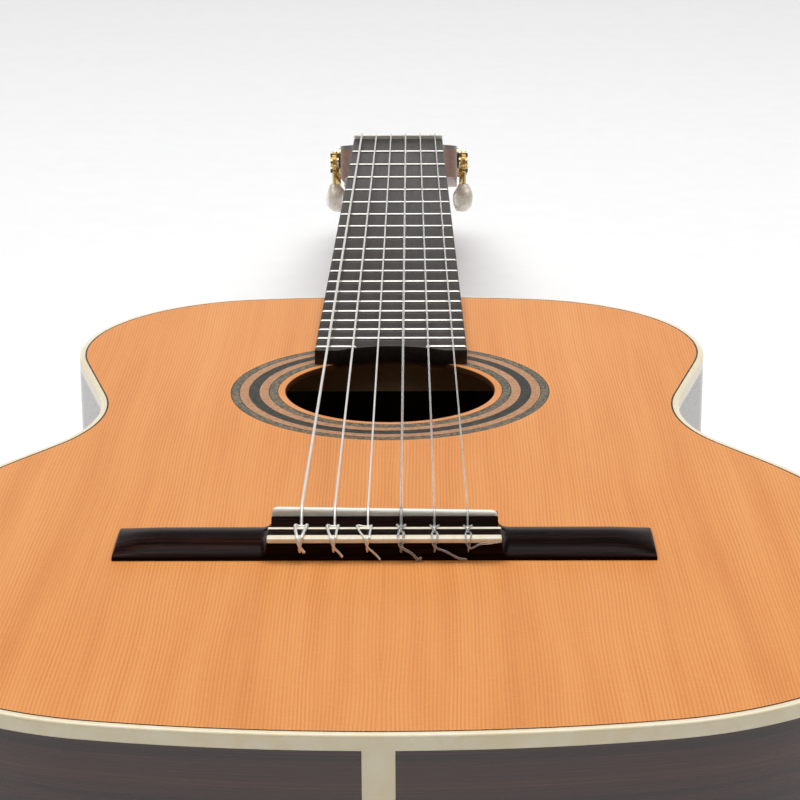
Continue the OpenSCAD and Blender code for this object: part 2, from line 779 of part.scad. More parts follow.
module cog(i) {
    s = side_of(i);
    y = post_y[post_of(i)];
    color("#c8a45a") in_head() {
        translate([s > 0 ? gear_x[0] : -gear_x[1], y, post_z]) rotate([90, 0, 90])
            linear_extrude(gear_x[1] - gear_x[0]) difference() {
                polygon(gear_edge);
                circle(r = stub_r);
            }
        difference() {
            union() {
                bar_x([s * 35.5, s * (gear_x[1] + 0.5)], y, post_z, 0.9);
                bar_x([s * gear_x[1], s * (gear_x[1] + 1.1)], y, post_z, 2.7);
            }
            translate([s * (gear_x[1] + 1.1), y, post_z]) cube([1, 0.6, 7], center = true);
        }
    }
}

module worm(i) {
    s = side_of(i);
    len = worm_turns * worm_pitch;
    color("#c8a45a") in_head() translate([s * worm_x, post_y[post_of(i)] + worm_dy, 0]) {
        translate([0, 0, shaft_z[0]]) cylinder(h = shaft_z[1] - shaft_z[0], r = shaft_r);
        translate([0, 0, post_z - len / 2]) rotate(90 - 180 * worm_turns)
            linear_extrude(height = len, twist = -360 * worm_turns, slices = 12 * worm_turns, segments = 12)
                translate([worm_offset, 0]) circle(r = worm_round, $fn = 12);
    }
}

module button(i) {
    s = side_of(i);
    mid = (button_z[0] + button_z[1]) / 2 - 0.6;
    half = mid - button_z[0];
    profile = concat(
        [[0, button_z[0]]],
        [for (a = [-80:10:50]) [button_r * cos(a), mid + half * sin(a)]],
        [[3.4, button_z[1] - 1.2], [3.0, button_z[1]], [0, button_z[1]]]
    );
    color("#efe3cc") in_head()
        translate([s * worm_x, post_y[post_of(i)] + worm_dy, 0]) rotate(button_turn[i - 1]) difference() {
            intersection() {
                rotate_extrude() polygon(profile);
                span([-button_flat / 2, button_flat / 2], [-20, 20], [-50, 0]);
            }
            translate([0, 0, shaft_z[0]]) cylinder(h = 20, r = shaft_r);
        }
}

// ---------- assembly ----------

soundboard();
rosette();
top_purfling();
top_binding();
back_binding();
back_plate(-1);  // back_plate_bass
back_plate(1);  // back_plate_treble
back_strip();
side(-1);  // side_bass
side(1);  // side_treble
linings();
neck_block();
tail_block();
end_graft();
top_braces();
bridge_patch();
back_braces();
neck();
heel_cap();
headstock();
head_veneer();
fingerboard();
frets();
nut();
bridge();
tie_block_inlays();
saddle();
tuner_plate(-1);  // tuner_plate_bass
tuner_plate(1);  // tuner_plate_treble
plate_screws();
for (i = [1:6]) {
    string(i);
    roller(i);
    cog(i);
    worm(i);
    button(i);
}
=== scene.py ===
"""A classical guitar on its back in plain soft studio light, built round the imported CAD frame.

Shapes are worked out in millimetres in the frame's own axes: X to the treble side, Y from the tail to the
head, Z up out of the soundboard. Meshes are made in metres.
"""

from math import acos, atan2, copysign, cos, degrees, pi, radians, sin, sqrt, tan

import bmesh
import bpy
from mathutils import Matrix, Vector


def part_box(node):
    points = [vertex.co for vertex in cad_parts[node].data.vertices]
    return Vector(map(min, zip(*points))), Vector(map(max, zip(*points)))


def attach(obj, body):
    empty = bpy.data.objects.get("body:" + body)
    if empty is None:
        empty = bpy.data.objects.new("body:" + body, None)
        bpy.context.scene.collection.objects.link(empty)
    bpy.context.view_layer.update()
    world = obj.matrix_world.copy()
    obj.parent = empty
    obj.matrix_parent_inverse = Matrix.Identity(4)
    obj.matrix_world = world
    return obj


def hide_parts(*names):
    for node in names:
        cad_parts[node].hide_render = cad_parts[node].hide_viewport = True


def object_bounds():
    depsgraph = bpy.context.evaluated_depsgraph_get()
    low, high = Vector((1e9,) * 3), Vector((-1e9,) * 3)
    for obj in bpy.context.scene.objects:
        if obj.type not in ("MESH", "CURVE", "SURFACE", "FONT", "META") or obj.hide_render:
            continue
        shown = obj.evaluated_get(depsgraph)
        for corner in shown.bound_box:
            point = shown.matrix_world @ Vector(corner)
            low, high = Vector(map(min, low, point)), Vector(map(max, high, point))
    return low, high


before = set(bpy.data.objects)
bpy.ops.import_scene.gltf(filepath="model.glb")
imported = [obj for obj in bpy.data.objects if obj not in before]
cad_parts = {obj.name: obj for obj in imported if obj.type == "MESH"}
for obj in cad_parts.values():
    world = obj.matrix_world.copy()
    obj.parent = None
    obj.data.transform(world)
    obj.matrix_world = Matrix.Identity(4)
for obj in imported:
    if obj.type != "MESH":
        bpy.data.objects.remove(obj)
CAD_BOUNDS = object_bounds()
MM = 0.001

# ---- places taken from the frame


def box(node):
    """Lowest and highest corner of a CAD node in millimetres."""
    low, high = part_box(node)
    return low / MM, high / MM


BODY_LOW, BODY_HIGH = box("top_binding")
BACK_LOW = box("back_binding")[0]
BRIDGE_LOW, BRIDGE_HIGH = box("bridge")
NUT_LOW, NUT_HIGH = box("nut")
SADDLE_LOW, SADDLE_HIGH = box("saddle")
TOP = box("soundboard")[1].z
TAIL_Y = BODY_LOW.y
JOINT_Y = BODY_HIGH.y
NUT_Y = NUT_LOW.y
SCALE = 2 * (NUT_Y - JOINT_Y)
SADDLE_Y = NUT_Y - SCALE
SADDLE_MIDDLE = (SADDLE_LOW.y + SADDLE_HIGH.y) / 2
NUT_SPREAD = 43
SADDLE_SPREAD = 58
HAIR = 0.05

# Body outline, as in the CAD model
UPPER_WIDTH = 273
WAIST_WIDTH = 236
LOWER_WIDTH = BODY_HIGH.x - BODY_LOW.x
UPPER_R = 83.2
WAIST_R = 75
FLANK_R = 222
LOWER_R = 118
SIDE_THICK = 2.4
PURFLING = 0.7
TOP_THICK = 2.4
BINDING_HIGH = 5
EDGE_ROUND = 1.1
LINE_WIDE = 0.35

HOLE_Y = SADDLE_Y + 177
HOLE_R = 43.5
ROSETTE_R = [46.6, 50.6, 54.4, 58.9, 62.6, 66.4]
ROSETTE_DEEP = 1.2

BOARD_Z = box("fingerboard")[1].z
FRET_Z = box("frets")[1].z
FRET_HIGH = FRET_Z - BOARD_Z
NUT_HALF = NUT_HIGH.x
JOINT_HALF = 31
BOARD_END = SADDLE_Y + 213
BOARD_CUT_R = 42.6
NUT_BACK = NUT_HIGH.y
NUT_STRING_Z = FRET_Z + 0.3
STRING_D = [0.71, 0.82, 1.02, 0.76, 0.91, 1.12]

HEAD_TILT = radians(15)
HEAD_LIFT = 2.0
HEAD_THICK = 19
VENEER = 2.5
POST_Y = [49, 84, 119]
POST_Z = -8.6
WORM_DY = 8.1
WORM_X = 39.5
ROLLER_R = 4.95
ROLLER_TURNS = 4


# ---- small geometry helpers


def vec(*parts):
    return Vector(parts)


def lerp(a, b, t):
    return a + (b - a) * t


def smooth(t):
    t = min(1.0, max(0.0, t))
    return t * t * (3 - 2 * t)


def polar(centre, radius, turn):
    a = radians(turn)
    return vec(centre[0] + radius * cos(a), centre[1] + radius * sin(a))


def arc(centre, radius, start, end, count):
    return [polar(centre, radius, lerp(start, end, i / count)) for i in range(count + 1)]


def bearing(v):
    return degrees(atan2(v[1], v[0]))


def build_object(name, verts, faces, weld=False, lengths=None):
    """A mesh object from points in millimetres, with outward normals and a wire's length at each point."""
    mesh = bpy.data.meshes.new(name)
    mesh.from_pydata([tuple(MM * c for c in v) for v in verts], [], faces)
    if lengths:
        mesh.attributes.new("length", "FLOAT", "POINT").data.foreach_set("value", lengths)
    work = bmesh.new()
    work.from_mesh(mesh)
    if weld:
        bmesh.ops.remove_doubles(work, verts=work.verts, dist=1e-7)
    bmesh.ops.recalc_face_normals(work, faces=work.faces)
    work.to_mesh(mesh)
    work.free()
    obj = bpy.data.objects.new(name, mesh)
    bpy.context.scene.collection.objects.link(obj)
    return obj


def finish_piece(obj, material, body="root", slot=None, replaces=(), sharp=35):
    """Gives a new object its material, shading and place in the frame."""
    shade(obj, sharp)
    obj.data.materials.append(material)
    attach(obj, body)
    if replaces:
        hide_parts(*replaces)
    return obj


def shade(obj, sharp=35):
    obj.data.shade_smooth()
    obj.data.set_sharp_from_angle(angle=radians(sharp))


def loft_faces(count, size, closed=False, caps=True):
    """Faces between rings in a row, each of the same size."""
    faces = []
    for i in range(count if closed else count - 1):
        a, b = i * size, (i + 1) % count * size
        for j in range(size):
            k = (j + 1) % size
            faces.append((a + j, b + j, b + k, a + k))
    if caps and not closed:
        faces.append(tuple(range(size - 1, -1, -1)))
        faces.append(tuple((count - 1) * size + j for j in range(size)))
    return faces


def loft(name, rings, material, closed=False, caps=True, **options):
    """A skin over rings that all have the same number of points."""
    verts = [p for ring in rings for p in ring]
    faces = loft_faces(len(rings), len(rings[0]), closed, caps)
    return finish_piece(build_object(name, verts, faces, True), material, **options)


def bevel(obj, width, segments=3, angle=30):
    modifier = obj.modifiers.new("Edges", "BEVEL")
    modifier.width = width * MM
    modifier.segments = segments
    modifier.limit_method = "ANGLE"
    modifier.angle_limit = radians(angle)
    modifier.harden_normals = True
    return obj


def cut(obj, tools):
    """Cuts tools out of obj and removes them."""
    for tool in tools:
        modifier = obj.modifiers.new("Cut", "BOOLEAN")
        modifier.operation = "DIFFERENCE"
        modifier.solver = "EXACT"
        modifier.object = tool
    graph = bpy.context.evaluated_depsgraph_get()
    mesh = bpy.data.meshes.new_from_object(obj.evaluated_get(graph))
    obj.modifiers.clear()
    obj.data = mesh
    for tool in tools:
        bpy.data.objects.remove(tool)
    return obj


def tool_prism(outline, low, high, place=lambda p: p):
    """A cutting prism over a plane outline, from low to high."""
    verts = [place((p[0], p[1], z)) for z in (low, high) for p in outline]
    return build_object("tool", verts, loft_faces(2, len(outline)))


def tool_rod(start, end, radius, sides=24):
    rings = tube_rings([Vector(start), Vector(end)], radius, sides)
    return build_object("tool", [p for r in rings for p in r], loft_faces(2, sides))


def tube_rings(points, radius, sides=12):
    """Rings round a path. The normal is carried along so that the tube doesn't twist."""
    rings = []
    normal = None
    for i, p in enumerate(points):
        before = (p - points[i - 1]).normalized() if i else Vector()
        after = (points[i + 1] - p).normalized() if i + 1 < len(points) else Vector()
        t = (before + after).normalized()
        if normal is None:
            normal = t.cross(vec(0.21, 0.33, 1)).normalized()
        normal = (normal - t * normal.dot(t)).normalized()
        side = t.cross(normal)
        r = radius(i / (len(points) - 1)) if callable(radius) else radius
        rings.append([
            p + r * (cos(2 * pi * k / sides) * normal + sin(2 * pi * k / sides) * side)
            for k in range(sides)
        ])
    return rings


def curve_through(points, step=0.4):
    """Points about one step apart on a smooth curve through the given ones (centripetal Catmull-Rom)."""
    pts = [Vector(p) for p in points]
    pts = [2 * pts[0] - pts[1]] + pts + [2 * pts[-1] - pts[-2]]
    found = []
    for i in range(1, len(pts) - 2):
        p0, p1, p2, p3 = pts[i - 1:i + 3]
        t0 = 0.0
        t1 = t0 + max(1e-4, (p1 - p0).length) ** 0.5
        t2 = t1 + max(1e-4, (p2 - p1).length) ** 0.5
        t3 = t2 + max(1e-4, (p3 - p2).length) ** 0.5
        count = max(1, int((p2 - p1).length / step))
        for k in range(count):
            t = lerp(t1, t2, k / count)
            a1 = p0.lerp(p1, (t - t0) / (t1 - t0))
            a2 = p1.lerp(p2, (t - t1) / (t2 - t1))
            a3 = p2.lerp(p3, (t - t2) / (t3 - t2))
            b1 = a1.lerp(a2, (t - t0) / (t2 - t0))
            b2 = a2.lerp(a3, (t - t1) / (t3 - t1))
            found.append(b1.lerp(b2, (t - t1) / (t2 - t1)))
    found.append(pts[-2])
    return found


# ---- body outline


def cap_radius(x, dy, r):
    return (x * x + dy * dy - r * r) / (2 * (dy - r))


UPPER_C = vec(UPPER_WIDTH / 2 - UPPER_R, JOINT_Y - 87)
WAIST_C = vec(WAIST_WIDTH / 2 + WAIST_R, JOINT_Y - 175)
FLANK_C = vec(LOWER_WIDTH / 2 - FLANK_R, JOINT_Y - 363)
LOWER_C = vec(LOWER_WIDTH / 2 - LOWER_R, JOINT_Y - 363)
SHOULDER_R = cap_radius(UPPER_C.x, JOINT_Y - UPPER_C.y, UPPER_R)
TAIL_R = cap_radius(LOWER_C.x, LOWER_C.y - TAIL_Y, LOWER_R)
SHOULDER_C = vec(0, JOINT_Y - SHOULDER_R)
TAIL_C = vec(0, TAIL_Y + TAIL_R)


def tangent_angle(a, ra, b, rb, sign):
    """Bearing at which a line touches circle a on one side and circle b on the other."""
    gap = b - a
    return bearing(gap) + sign * degrees(acos((ra + rb) / gap.length))


UPPER_WAIST = tangent_angle(UPPER_C, UPPER_R, WAIST_C, WAIST_R, 1)
FLANK_WAIST = tangent_angle(FLANK_C, FLANK_R, WAIST_C, WAIST_R, -1)


def half_outline(inset):
    """The treble half of the body outline, from the neck to the tail, moved inwards by inset."""
    shoulder_end = bearing(UPPER_C - SHOULDER_C)
    tail_start = bearing(LOWER_C - TAIL_C)
    upper_end = polar(UPPER_C, UPPER_R - inset, UPPER_WAIST)
    waist_start = polar(WAIST_C, WAIST_R + inset, 180 + UPPER_WAIST)
    waist_end = polar(WAIST_C, WAIST_R + inset, 180 + FLANK_WAIST)
    flank_start = polar(FLANK_C, FLANK_R - inset, FLANK_WAIST)
    return (
        arc(SHOULDER_C, SHOULDER_R - inset, 90, shoulder_end, 24)[:-1]
        + arc(UPPER_C, UPPER_R - inset, shoulder_end, UPPER_WAIST, 48)
        + [upper_end.lerp(waist_start, i / 12) for i in range(1, 12)]
        + arc(WAIST_C, WAIST_R + inset, 180 + UPPER_WAIST, 180 + FLANK_WAIST, 30)
        + [waist_end.lerp(flank_start, i / 8) for i in range(1, 8)]
        + arc(FLANK_C, FLANK_R - inset, FLANK_WAIST, 0, 36)[:-1]
        + arc(LOWER_C, LOWER_R - inset, 0, tail_start, 60)[:-1]
        + arc(TAIL_C, TAIL_R - inset, tail_start, -90, 30)
    )


def outline(inset):
    """The whole outline, clockwise from the neck."""
    half = half_outline(inset)
    return half[:-1] + [vec(-p.x, p.y) for p in reversed(half[1:])]


def band(name, section, material, **options):
    """A closed band round the body. section lists (inset, z) corners."""
    loops = [[vec(p.x, p.y, z) for p in outline(inset)] for inset, z in section]
    return loft(name, list(zip(*loops)), material, closed=True, **options)


def round_corner(inset, z, radius, down, steps=4):
    """Section corners for an outer edge rounded by radius, going from the side face to the flat face."""
    sign = -1 if down else 1
    corners = []
    for k in range(steps + 1):
        a = radians(90 * k / steps)
        corners.append((inset + radius * (1 - cos(a)), z - sign * radius * (1 - sin(a))))
    return corners


# ---- materials


def arithmetic(operation):
    return lambda a, b: a.graph.math(operation, a, b)


class Value:
    """A node's output, which can be added, subtracted, multiplied and divided."""

    __add__ = arithmetic("ADD")
    __sub__ = arithmetic("SUBTRACT")
    __mul__ = arithmetic("MULTIPLY")
    __truediv__ = arithmetic("DIVIDE")

    def __init__(self, graph, socket):
        self.graph, self.socket = graph, socket


class Graph:
    """Short forms for building a tree of shader nodes."""

    def __init__(self, tree):
        self.nodes, self.links = tree.nodes, tree.links

    def feed(self, value, socket):
        """Links a node's output to a socket, or writes a constant there."""
        if isinstance(value, Value):
            self.links.new(value.socket, socket)
        elif socket.type == "RGBA" and len(value) == 3:
            socket.default_value = (*value, 1)
        else:
            socket.default_value = value

    def node(self, kind, inputs=None, out=0, **settings):
        """Makes a node and gives the output that was asked for."""
        made = self.nodes.new("ShaderNode" + kind)
        for key, value in settings.items():
            setattr(made, key, value)
        for key, value in (inputs or {}).items():
            self.feed(value, made.inputs[key])
        return Value(self, made.outputs[out]) if made.outputs else None

    def math(self, operation, a, b=0.0, c=0.0):
        return self.node("Math", {0: a, 1: b, 2: c}, operation=operation)

    def split(self, vector):
        first = self.node("SeparateXYZ", {0: vector})
        return [Value(self, socket) for socket in first.socket.node.outputs]

    def join(self, x, y, z):
        return self.node("CombineXYZ", {0: x, 1: y, 2: z})


class Look(Graph):
    """A material's nodes round its Principled shader, in millimetres of the CAD frame."""

    def __init__(self, name, **surface):
        self.material = bpy.data.materials.new(name)
        self.material.use_nodes = True
        super().__init__(self.material.node_tree)
        self.surface = self.nodes["Principled BSDF"].inputs
        for key, value in surface.items():
            self.surface[key.replace("_", " ")].default_value = value
        self.place = self.node("TexCoord", out="Object")

    def scaled(self, scale=(1, 1, 1), offset=(0, 0, 0)):
        factors = [s / MM for s in scale]
        return self.node("Mapping", {"Vector": self.place, "Scale": factors, "Location": offset})

    def along(self, axis):
        """Two coordinates across the grain and one along it."""
        parts = self.split(self.scaled())
        return (parts[k] for k in {"X": (2, 1, 0), "Y": (0, 2, 1), "Z": (0, 1, 2)}[axis])

    def noise(self, vector, detail=3.0, roughness=0.55, distortion=0.0):
        if isinstance(vector, tuple):
            vector = self.join(*vector)
        settings = {"Scale": 1.0, "Detail": detail, "Roughness": roughness, "Distortion": distortion}
        return self.node("TexNoise", {"Vector": vector, **settings}, "Fac")

    def ramp(self, value, stops, interpolation="LINEAR"):
        made = self.node("ValToRGB", {"Fac": value})
        colours = made.socket.node.color_ramp
        colours.interpolation = interpolation
        while len(colours.elements) < len(stops):
            colours.elements.new(0.5)
        for element, (at, colour) in zip(colours.elements, stops):
            element.position = at
            element.color = (*colour, 1)
        return made

    def grey(self, value, *stops):
        return self.ramp(value, [(at, (v, v, v)) for at, v in stops])

    def mix(self, factor, a, b):
        return self.node("Mix", {0: factor, 6: a, 7: b}, 2, data_type="RGBA", blend_type="MIX")

    def use(self, colour, roughness=None, bump=None, strength=0.3, distance=0.05):
        self.feed(colour, self.surface["Base Color"])
        if roughness:
            self.feed(roughness, self.surface["Roughness"])
        if bump:
            bump = self.node("Bump", {"Height": bump, "Strength": strength, "Distance": distance * MM})
            self.feed(bump, self.surface["Normal"])
        return self.material


def cedar_material():
    """Straight-grained cedar, bookmatched at the centre line: thin dark latewood lines about 1.2 mm apart."""
    t = Look("Cedar top", Roughness=0.42, Specular_IOR_Level=0.3, Coat_Weight=0.12, Coat_Roughness=0.25)
    x, y, z = t.split(t.scaled())
    across = t.math("ABSOLUTE", x)
    drift = t.noise((across * 0.012, y * 0.004, 3.0), 2.0)
    wander = t.noise((across * 0.08, y * 0.012, 9.0), 2.0)
    place = across + (drift * 9.0 + wander * 0.8)
    strength = t.noise((place * 0.19, y * 0.004, 5.0), 3.0, 0.7)
    fibre = t.noise((across * 5.5, y * 0.11, 1.0), 3.0, 0.65)
    silk = t.noise((across * 0.22, y * 1.1, 7.0), 2.0, 0.6)
    patch = t.noise((place * 0.055, y * 0.003, 2.0), 3.0, 0.6)
    cloud = t.noise((x * 0.010, y * 0.008, 4.0), 2.0)
    bead = t.noise((across * 1.5, y * 0.9, 6.0), 2.0, 0.6)
    base = t.ramp(patch, [
        (0.30, (0.760, 0.285, 0.070)), (0.50, (0.850, 0.345, 0.094)), (0.72, (0.900, 0.400, 0.125)),
    ])
    base = t.mix(fibre * 0.16, base, (0.50, 0.15, 0.035))
    saw = t.math("FRACT", place * 0.80)
    line = t.grey(saw, (0.0, 0.0), (0.34, 0.06), (0.62, 0.60), (0.84, 1.0), (0.95, 0.45), (1.0, 0.0))
    line = line * t.grey(strength, (0.30, 0.40), (0.62, 1.0)) * t.grey(bead, (0.3, 0.50), (0.60, 1.0))
    base = t.mix(line * 0.88, base, (0.58, 0.155, 0.030))
    base = t.mix(t.grey(silk, (0.45, 0.0), (0.75, 0.16)), base, (0.93, 0.47, 0.17))
    base = t.mix(t.grey(cloud, (0.35, 0.0), (0.70, 0.16)), base, (0.90, 0.42, 0.14))
    # Painted shade: the cedar on the soundhole's wall and its rounded lip is darkened towards near black,
    # where shade falls under the fingerboard and inside the hole.
    ahead = y - HOLE_Y
    from_wall = t.math("SQRT", x * x + ahead * ahead) - HOLE_R
    base = t.mix(t.grey(from_wall, (0.15, 0.92), (0.45, 0.0)), base, (0.060, 0.020, 0.010))
    rough = t.grey(fibre, (0.2, 0.33), (0.8, 0.44))
    return t.use(base, rough, fibre * 0.35 - line * 0.5, strength=0.22, distance=0.05)


def dark_wood_material(name, stops, axis, streak=0.16, rough=(0.2, 0.32), coat=0.5, pore=0.5,
                       shine=0.5, index=1.5, bent=False):
    """Rosewood or ebony: streaks and short open pores along one axis. A bent plate has only level streaks."""
    t = Look(name, Roughness=rough[0], IOR=index, Specular_IOR_Level=shine,
             Coat_Weight=coat, Coat_Roughness=0.12)
    u, v, along = t.along(axis)
    if bent:
        u = 0.0
    bend = t.noise((u * 0.02, v * 0.02, along * 0.006), 2.0) * 14.0
    u, v = (v + bend, 0.0) if bent else (u + bend, v)
    streaks = t.noise((u * streak, v * streak, along * 0.006), 5.0, 0.62)
    fine = t.noise((u * 2.2, v * 2.2, along * 0.05), 3.0, 0.7)
    pores = t.noise((u * 7.0, v * 7.0, along * 0.28), 1.0, 0.5)
    pores = t.grey(pores, (0.60, 0.0), (0.70, 1.0))
    colour = t.ramp(streaks * 0.72 + fine * 0.28, stops)
    colour = t.mix(pores * 0.5, colour, (0.006, 0.004, 0.003))
    roughness = t.grey(fine, (0.2, rough[0]), (0.8, rough[1]))
    return t.use(colour, roughness, pores * -1.0, strength=0.35 * pore, distance=0.04)


def light_wood_material(name, light, dark, axis="Y"):
    """Plain inside wood with straight grain."""
    t = Look(name, Roughness=0.6)
    u, v, along = t.along(axis)
    grain = t.noise((u * 0.9, v * 0.9, along * 0.02), 4.0, 0.7)
    return t.use(t.ramp(grain, [(0.3, dark), (0.7, light)]), None, grain, strength=0.25, distance=0.05)


def neck_material():
    """Cedro neck: red-brown, straight open grain under a satin finish."""
    t = Look("Neck cedro", Roughness=0.4, Coat_Weight=0.3, Coat_Roughness=0.25)
    x, y, z = t.split(t.scaled())
    u = z + t.noise((x * 0.05, y * 0.006, z * 0.05), 2.0) * 12.0
    grain = t.noise((x * 0.5, y * 0.012, u * 0.5), 5.0, 0.65)
    pores = t.grey(t.noise((x * 5.0, y * 0.22, z * 5.0), 1.0), (0.60, 0.0), (0.70, 1.0))
    colour = t.ramp(grain, [
        (0.28, (0.115, 0.042, 0.020)), (0.5, (0.205, 0.082, 0.038)), (0.72, (0.29, 0.125, 0.060)),
    ])
    colour = t.mix(pores * 0.55, colour, (0.05, 0.018, 0.009))
    return t.use(colour, t.grey(grain, (0.2, 0.36), (0.8, 0.48)), pores * -1.0, strength=0.2, distance=0.04)


def ivory_material(name, colour, warm, rough=0.25, scale=0.35):
    """Bone, cream plastic or ivoroid: a faint mottle with warmer clouds and a soft lit-from-inside look."""
    t = Look(name, Roughness=rough, Coat_Weight=0.4, Coat_Roughness=0.1,
             Subsurface_Weight=0.12, Subsurface_Scale=0.002, Subsurface_Radius=(1.0, 0.8, 0.55))
    cloud = t.noise(t.scaled((scale, scale * 0.35, scale)), 4.0, 0.6)
    fleck = t.noise(t.scaled((scale * 9, scale * 1.6, scale * 9)), 2.0, 0.5)
    tint = t.ramp(cloud, [(0.32, warm), (0.62, colour)])
    tint = t.mix(t.grey(fleck, (0.55, 0.0), (0.75, 0.12)), tint, warm)
    return t.use(tint, t.grey(fleck, (0.3, rough), (0.8, rough + 0.08)), fleck, strength=0.06, distance=0.03)


def metal_material(name, colour, brushed, tarnish, amount, rough=0.22):
    """Polished metal with fine scratches along one way and a little tarnish in clouds."""
    t = Look(name, Metallic=1.0, Roughness=rough)
    scratch = t.noise(t.scaled(brushed), 2.0, 0.6)
    cloud = t.noise(t.scaled((0.22, 0.22, 0.22)), 3.0, 0.6)
    tint = t.mix(t.grey(cloud, (0.45, 0.0), (0.75, amount)), colour, tarnish)
    roughness = t.grey(scratch, (0.25, rough), (0.8, rough + 0.16))
    return t.use(tint, roughness, scratch, strength=0.08, distance=0.02)


def nylon_material():
    """Clear nylon with a slightly hazy skin."""
    t = Look("Nylon", Roughness=0.1, IOR=1.53, Transmission_Weight=0.82, Coat_Weight=0.2, Coat_Roughness=0.08)
    haze = t.noise(t.scaled((1.4, 0.08, 1.4)), 2.0)
    tint = t.ramp(haze, [(0.3, (0.93, 0.92, 0.90)), (0.7, (0.99, 0.99, 0.98))])
    return t.use(tint, t.grey(haze, (0.3, 0.05), (0.7, 0.14)), haze, strength=0.05, distance=0.02)


def wound_material():
    """Silvered winding wire: fine turns across the string, read from its length attribute."""
    t = Look("Wound string", Metallic=0.7, Roughness=0.24)
    length = t.node("Attribute", out="Fac", attribute_name="length")
    crown = t.math("SINE", t.math("FRACT", length / 0.24) * pi)
    cloud = t.noise(t.scaled((0.5, 0.05, 0.5)), 3.0)
    # Painted shade: the colour darkens in the grooves between the turns of wire, where shade falls.
    tint = t.mix(t.grey(crown, (0.0, 0.5), (0.55, 0.0)), (0.98, 0.96, 0.92), (0.66, 0.62, 0.57))
    tint = t.mix(t.grey(cloud, (0.4, 0.0), (0.8, 0.25)), tint, (0.92, 0.87, 0.79))
    return t.use(tint, t.grey(crown, (0.1, 0.52), (0.7, 0.40)), crown, strength=0.4, distance=0.04)


def pearl_material():
    """Pearl-like plastic: swirled cream with pale clouds that catch the light."""
    t = Look("Pearl button", Roughness=0.16, Coat_Weight=0.8, Coat_Roughness=0.05, Sheen_Weight=0.15)
    swirl = t.noise(t.scaled((0.16, 0.16, 0.16)), 4.0, 0.65, distortion=2.4)
    fold = t.noise(t.scaled((0.5, 0.5, 0.5), (3, 1, 2)), 3.0, 0.6, distortion=3.2)
    colour = t.ramp(swirl, [
        (0.30, (0.62, 0.52, 0.38)), (0.48, (0.80, 0.72, 0.57)), (0.66, (0.93, 0.90, 0.82)),
    ])
    colour = t.mix(t.grey(fold, (0.5, 0.0), (0.72, 0.45)), colour, (0.97, 0.94, 0.88))
    return t.use(colour, t.grey(swirl, (0.3, 0.22), (0.7, 0.12)), fold, strength=0.05, distance=0.05)


def mosaic_material(name, colours, ring, tiles_around, tiles_across, wide, grout=(0.03, 0.03, 0.025)):
    """Rosette mosaic: small end-grain tiles set round the soundhole, with a colour picked for each tile."""
    t = Look(name, Roughness=0.42, Specular_IOR_Level=0.25, Coat_Weight=0.08, Coat_Roughness=0.25)
    x, y, z = t.split(t.scaled(offset=(0, -HOLE_Y, 0)))
    radius = t.math("SQRT", x * x + y * y)
    row = (radius - ROSETTE_R[ring]) * (tiles_across / wide)
    floor = t.math("FLOOR", row)
    column = t.math("ARCTAN2", y, x) / (2 * pi) * tiles_around + floor * 0.5
    pick = t.node("TexWhiteNoise", {"Vector": t.join(t.math("FLOOR", column), floor, 0.0)}, "Value")
    colour = t.ramp(pick, [(i / len(colours), c) for i, c in enumerate(colours)], "CONSTANT")
    edge = [t.math("ABSOLUTE", t.math("FRACT", place) - 0.5) for place in (column, row)]
    seam = t.grey(t.math("MAXIMUM", *edge), (0.40, 0.0), (0.48, 1.0))
    grain = t.noise(t.scaled((3.0, 3.0, 3.0)), 3.0)
    colour = t.mix(seam * 0.5, colour, grout)
    colour = t.mix(grain * 0.25, colour, (0.05, 0.04, 0.03))
    return t.use(colour, t.grey(grain, (0.2, 0.34), (0.8, 0.44)), seam * -1.0, strength=0.15, distance=0.03)


def floor_material():
    t = Look("Floor", Roughness=0.7)
    grain = t.noise(t.scaled((0.05, 0.05, 0.05)), 3.0)
    return t.use(t.ramp(grain, [(0.3, (0.90, 0.90, 0.90)), (0.7, (0.92, 0.92, 0.92))]))


ROSEWOOD_TONES = [
    (0.30, (0.012, 0.007, 0.006)), (0.47, (0.045, 0.020, 0.015)),
    (0.60, (0.085, 0.036, 0.024)), (0.75, (0.125, 0.060, 0.040)),
]
BRIDGE_TONES = [
    (0.36, (0.003, 0.002, 0.002)), (0.50, (0.007, 0.003, 0.002)),
    (0.60, (0.028, 0.009, 0.007)), (0.74, (0.075, 0.022, 0.015)),
]
EBONY_TONES = [(0.30, (0.014, 0.011, 0.009)), (0.55, (0.034, 0.027, 0.021)), (0.80, (0.070, 0.054, 0.041))]
LINE_TONES = [(0.3, (0.010, 0.007, 0.005)), (0.8, (0.045, 0.024, 0.016))]
GREY_TILES = [(0.13, 0.12, 0.085), (0.21, 0.185, 0.13), (0.075, 0.075, 0.055), (0.31, 0.22, 0.13)]
DARK_TILES = [(0.014, 0.018, 0.014), (0.035, 0.040, 0.030), (0.008, 0.010, 0.009), (0.060, 0.050, 0.032)]
TAN_TILES = [(0.56, 0.28, 0.14), (0.62, 0.33, 0.17), (0.50, 0.25, 0.12)]

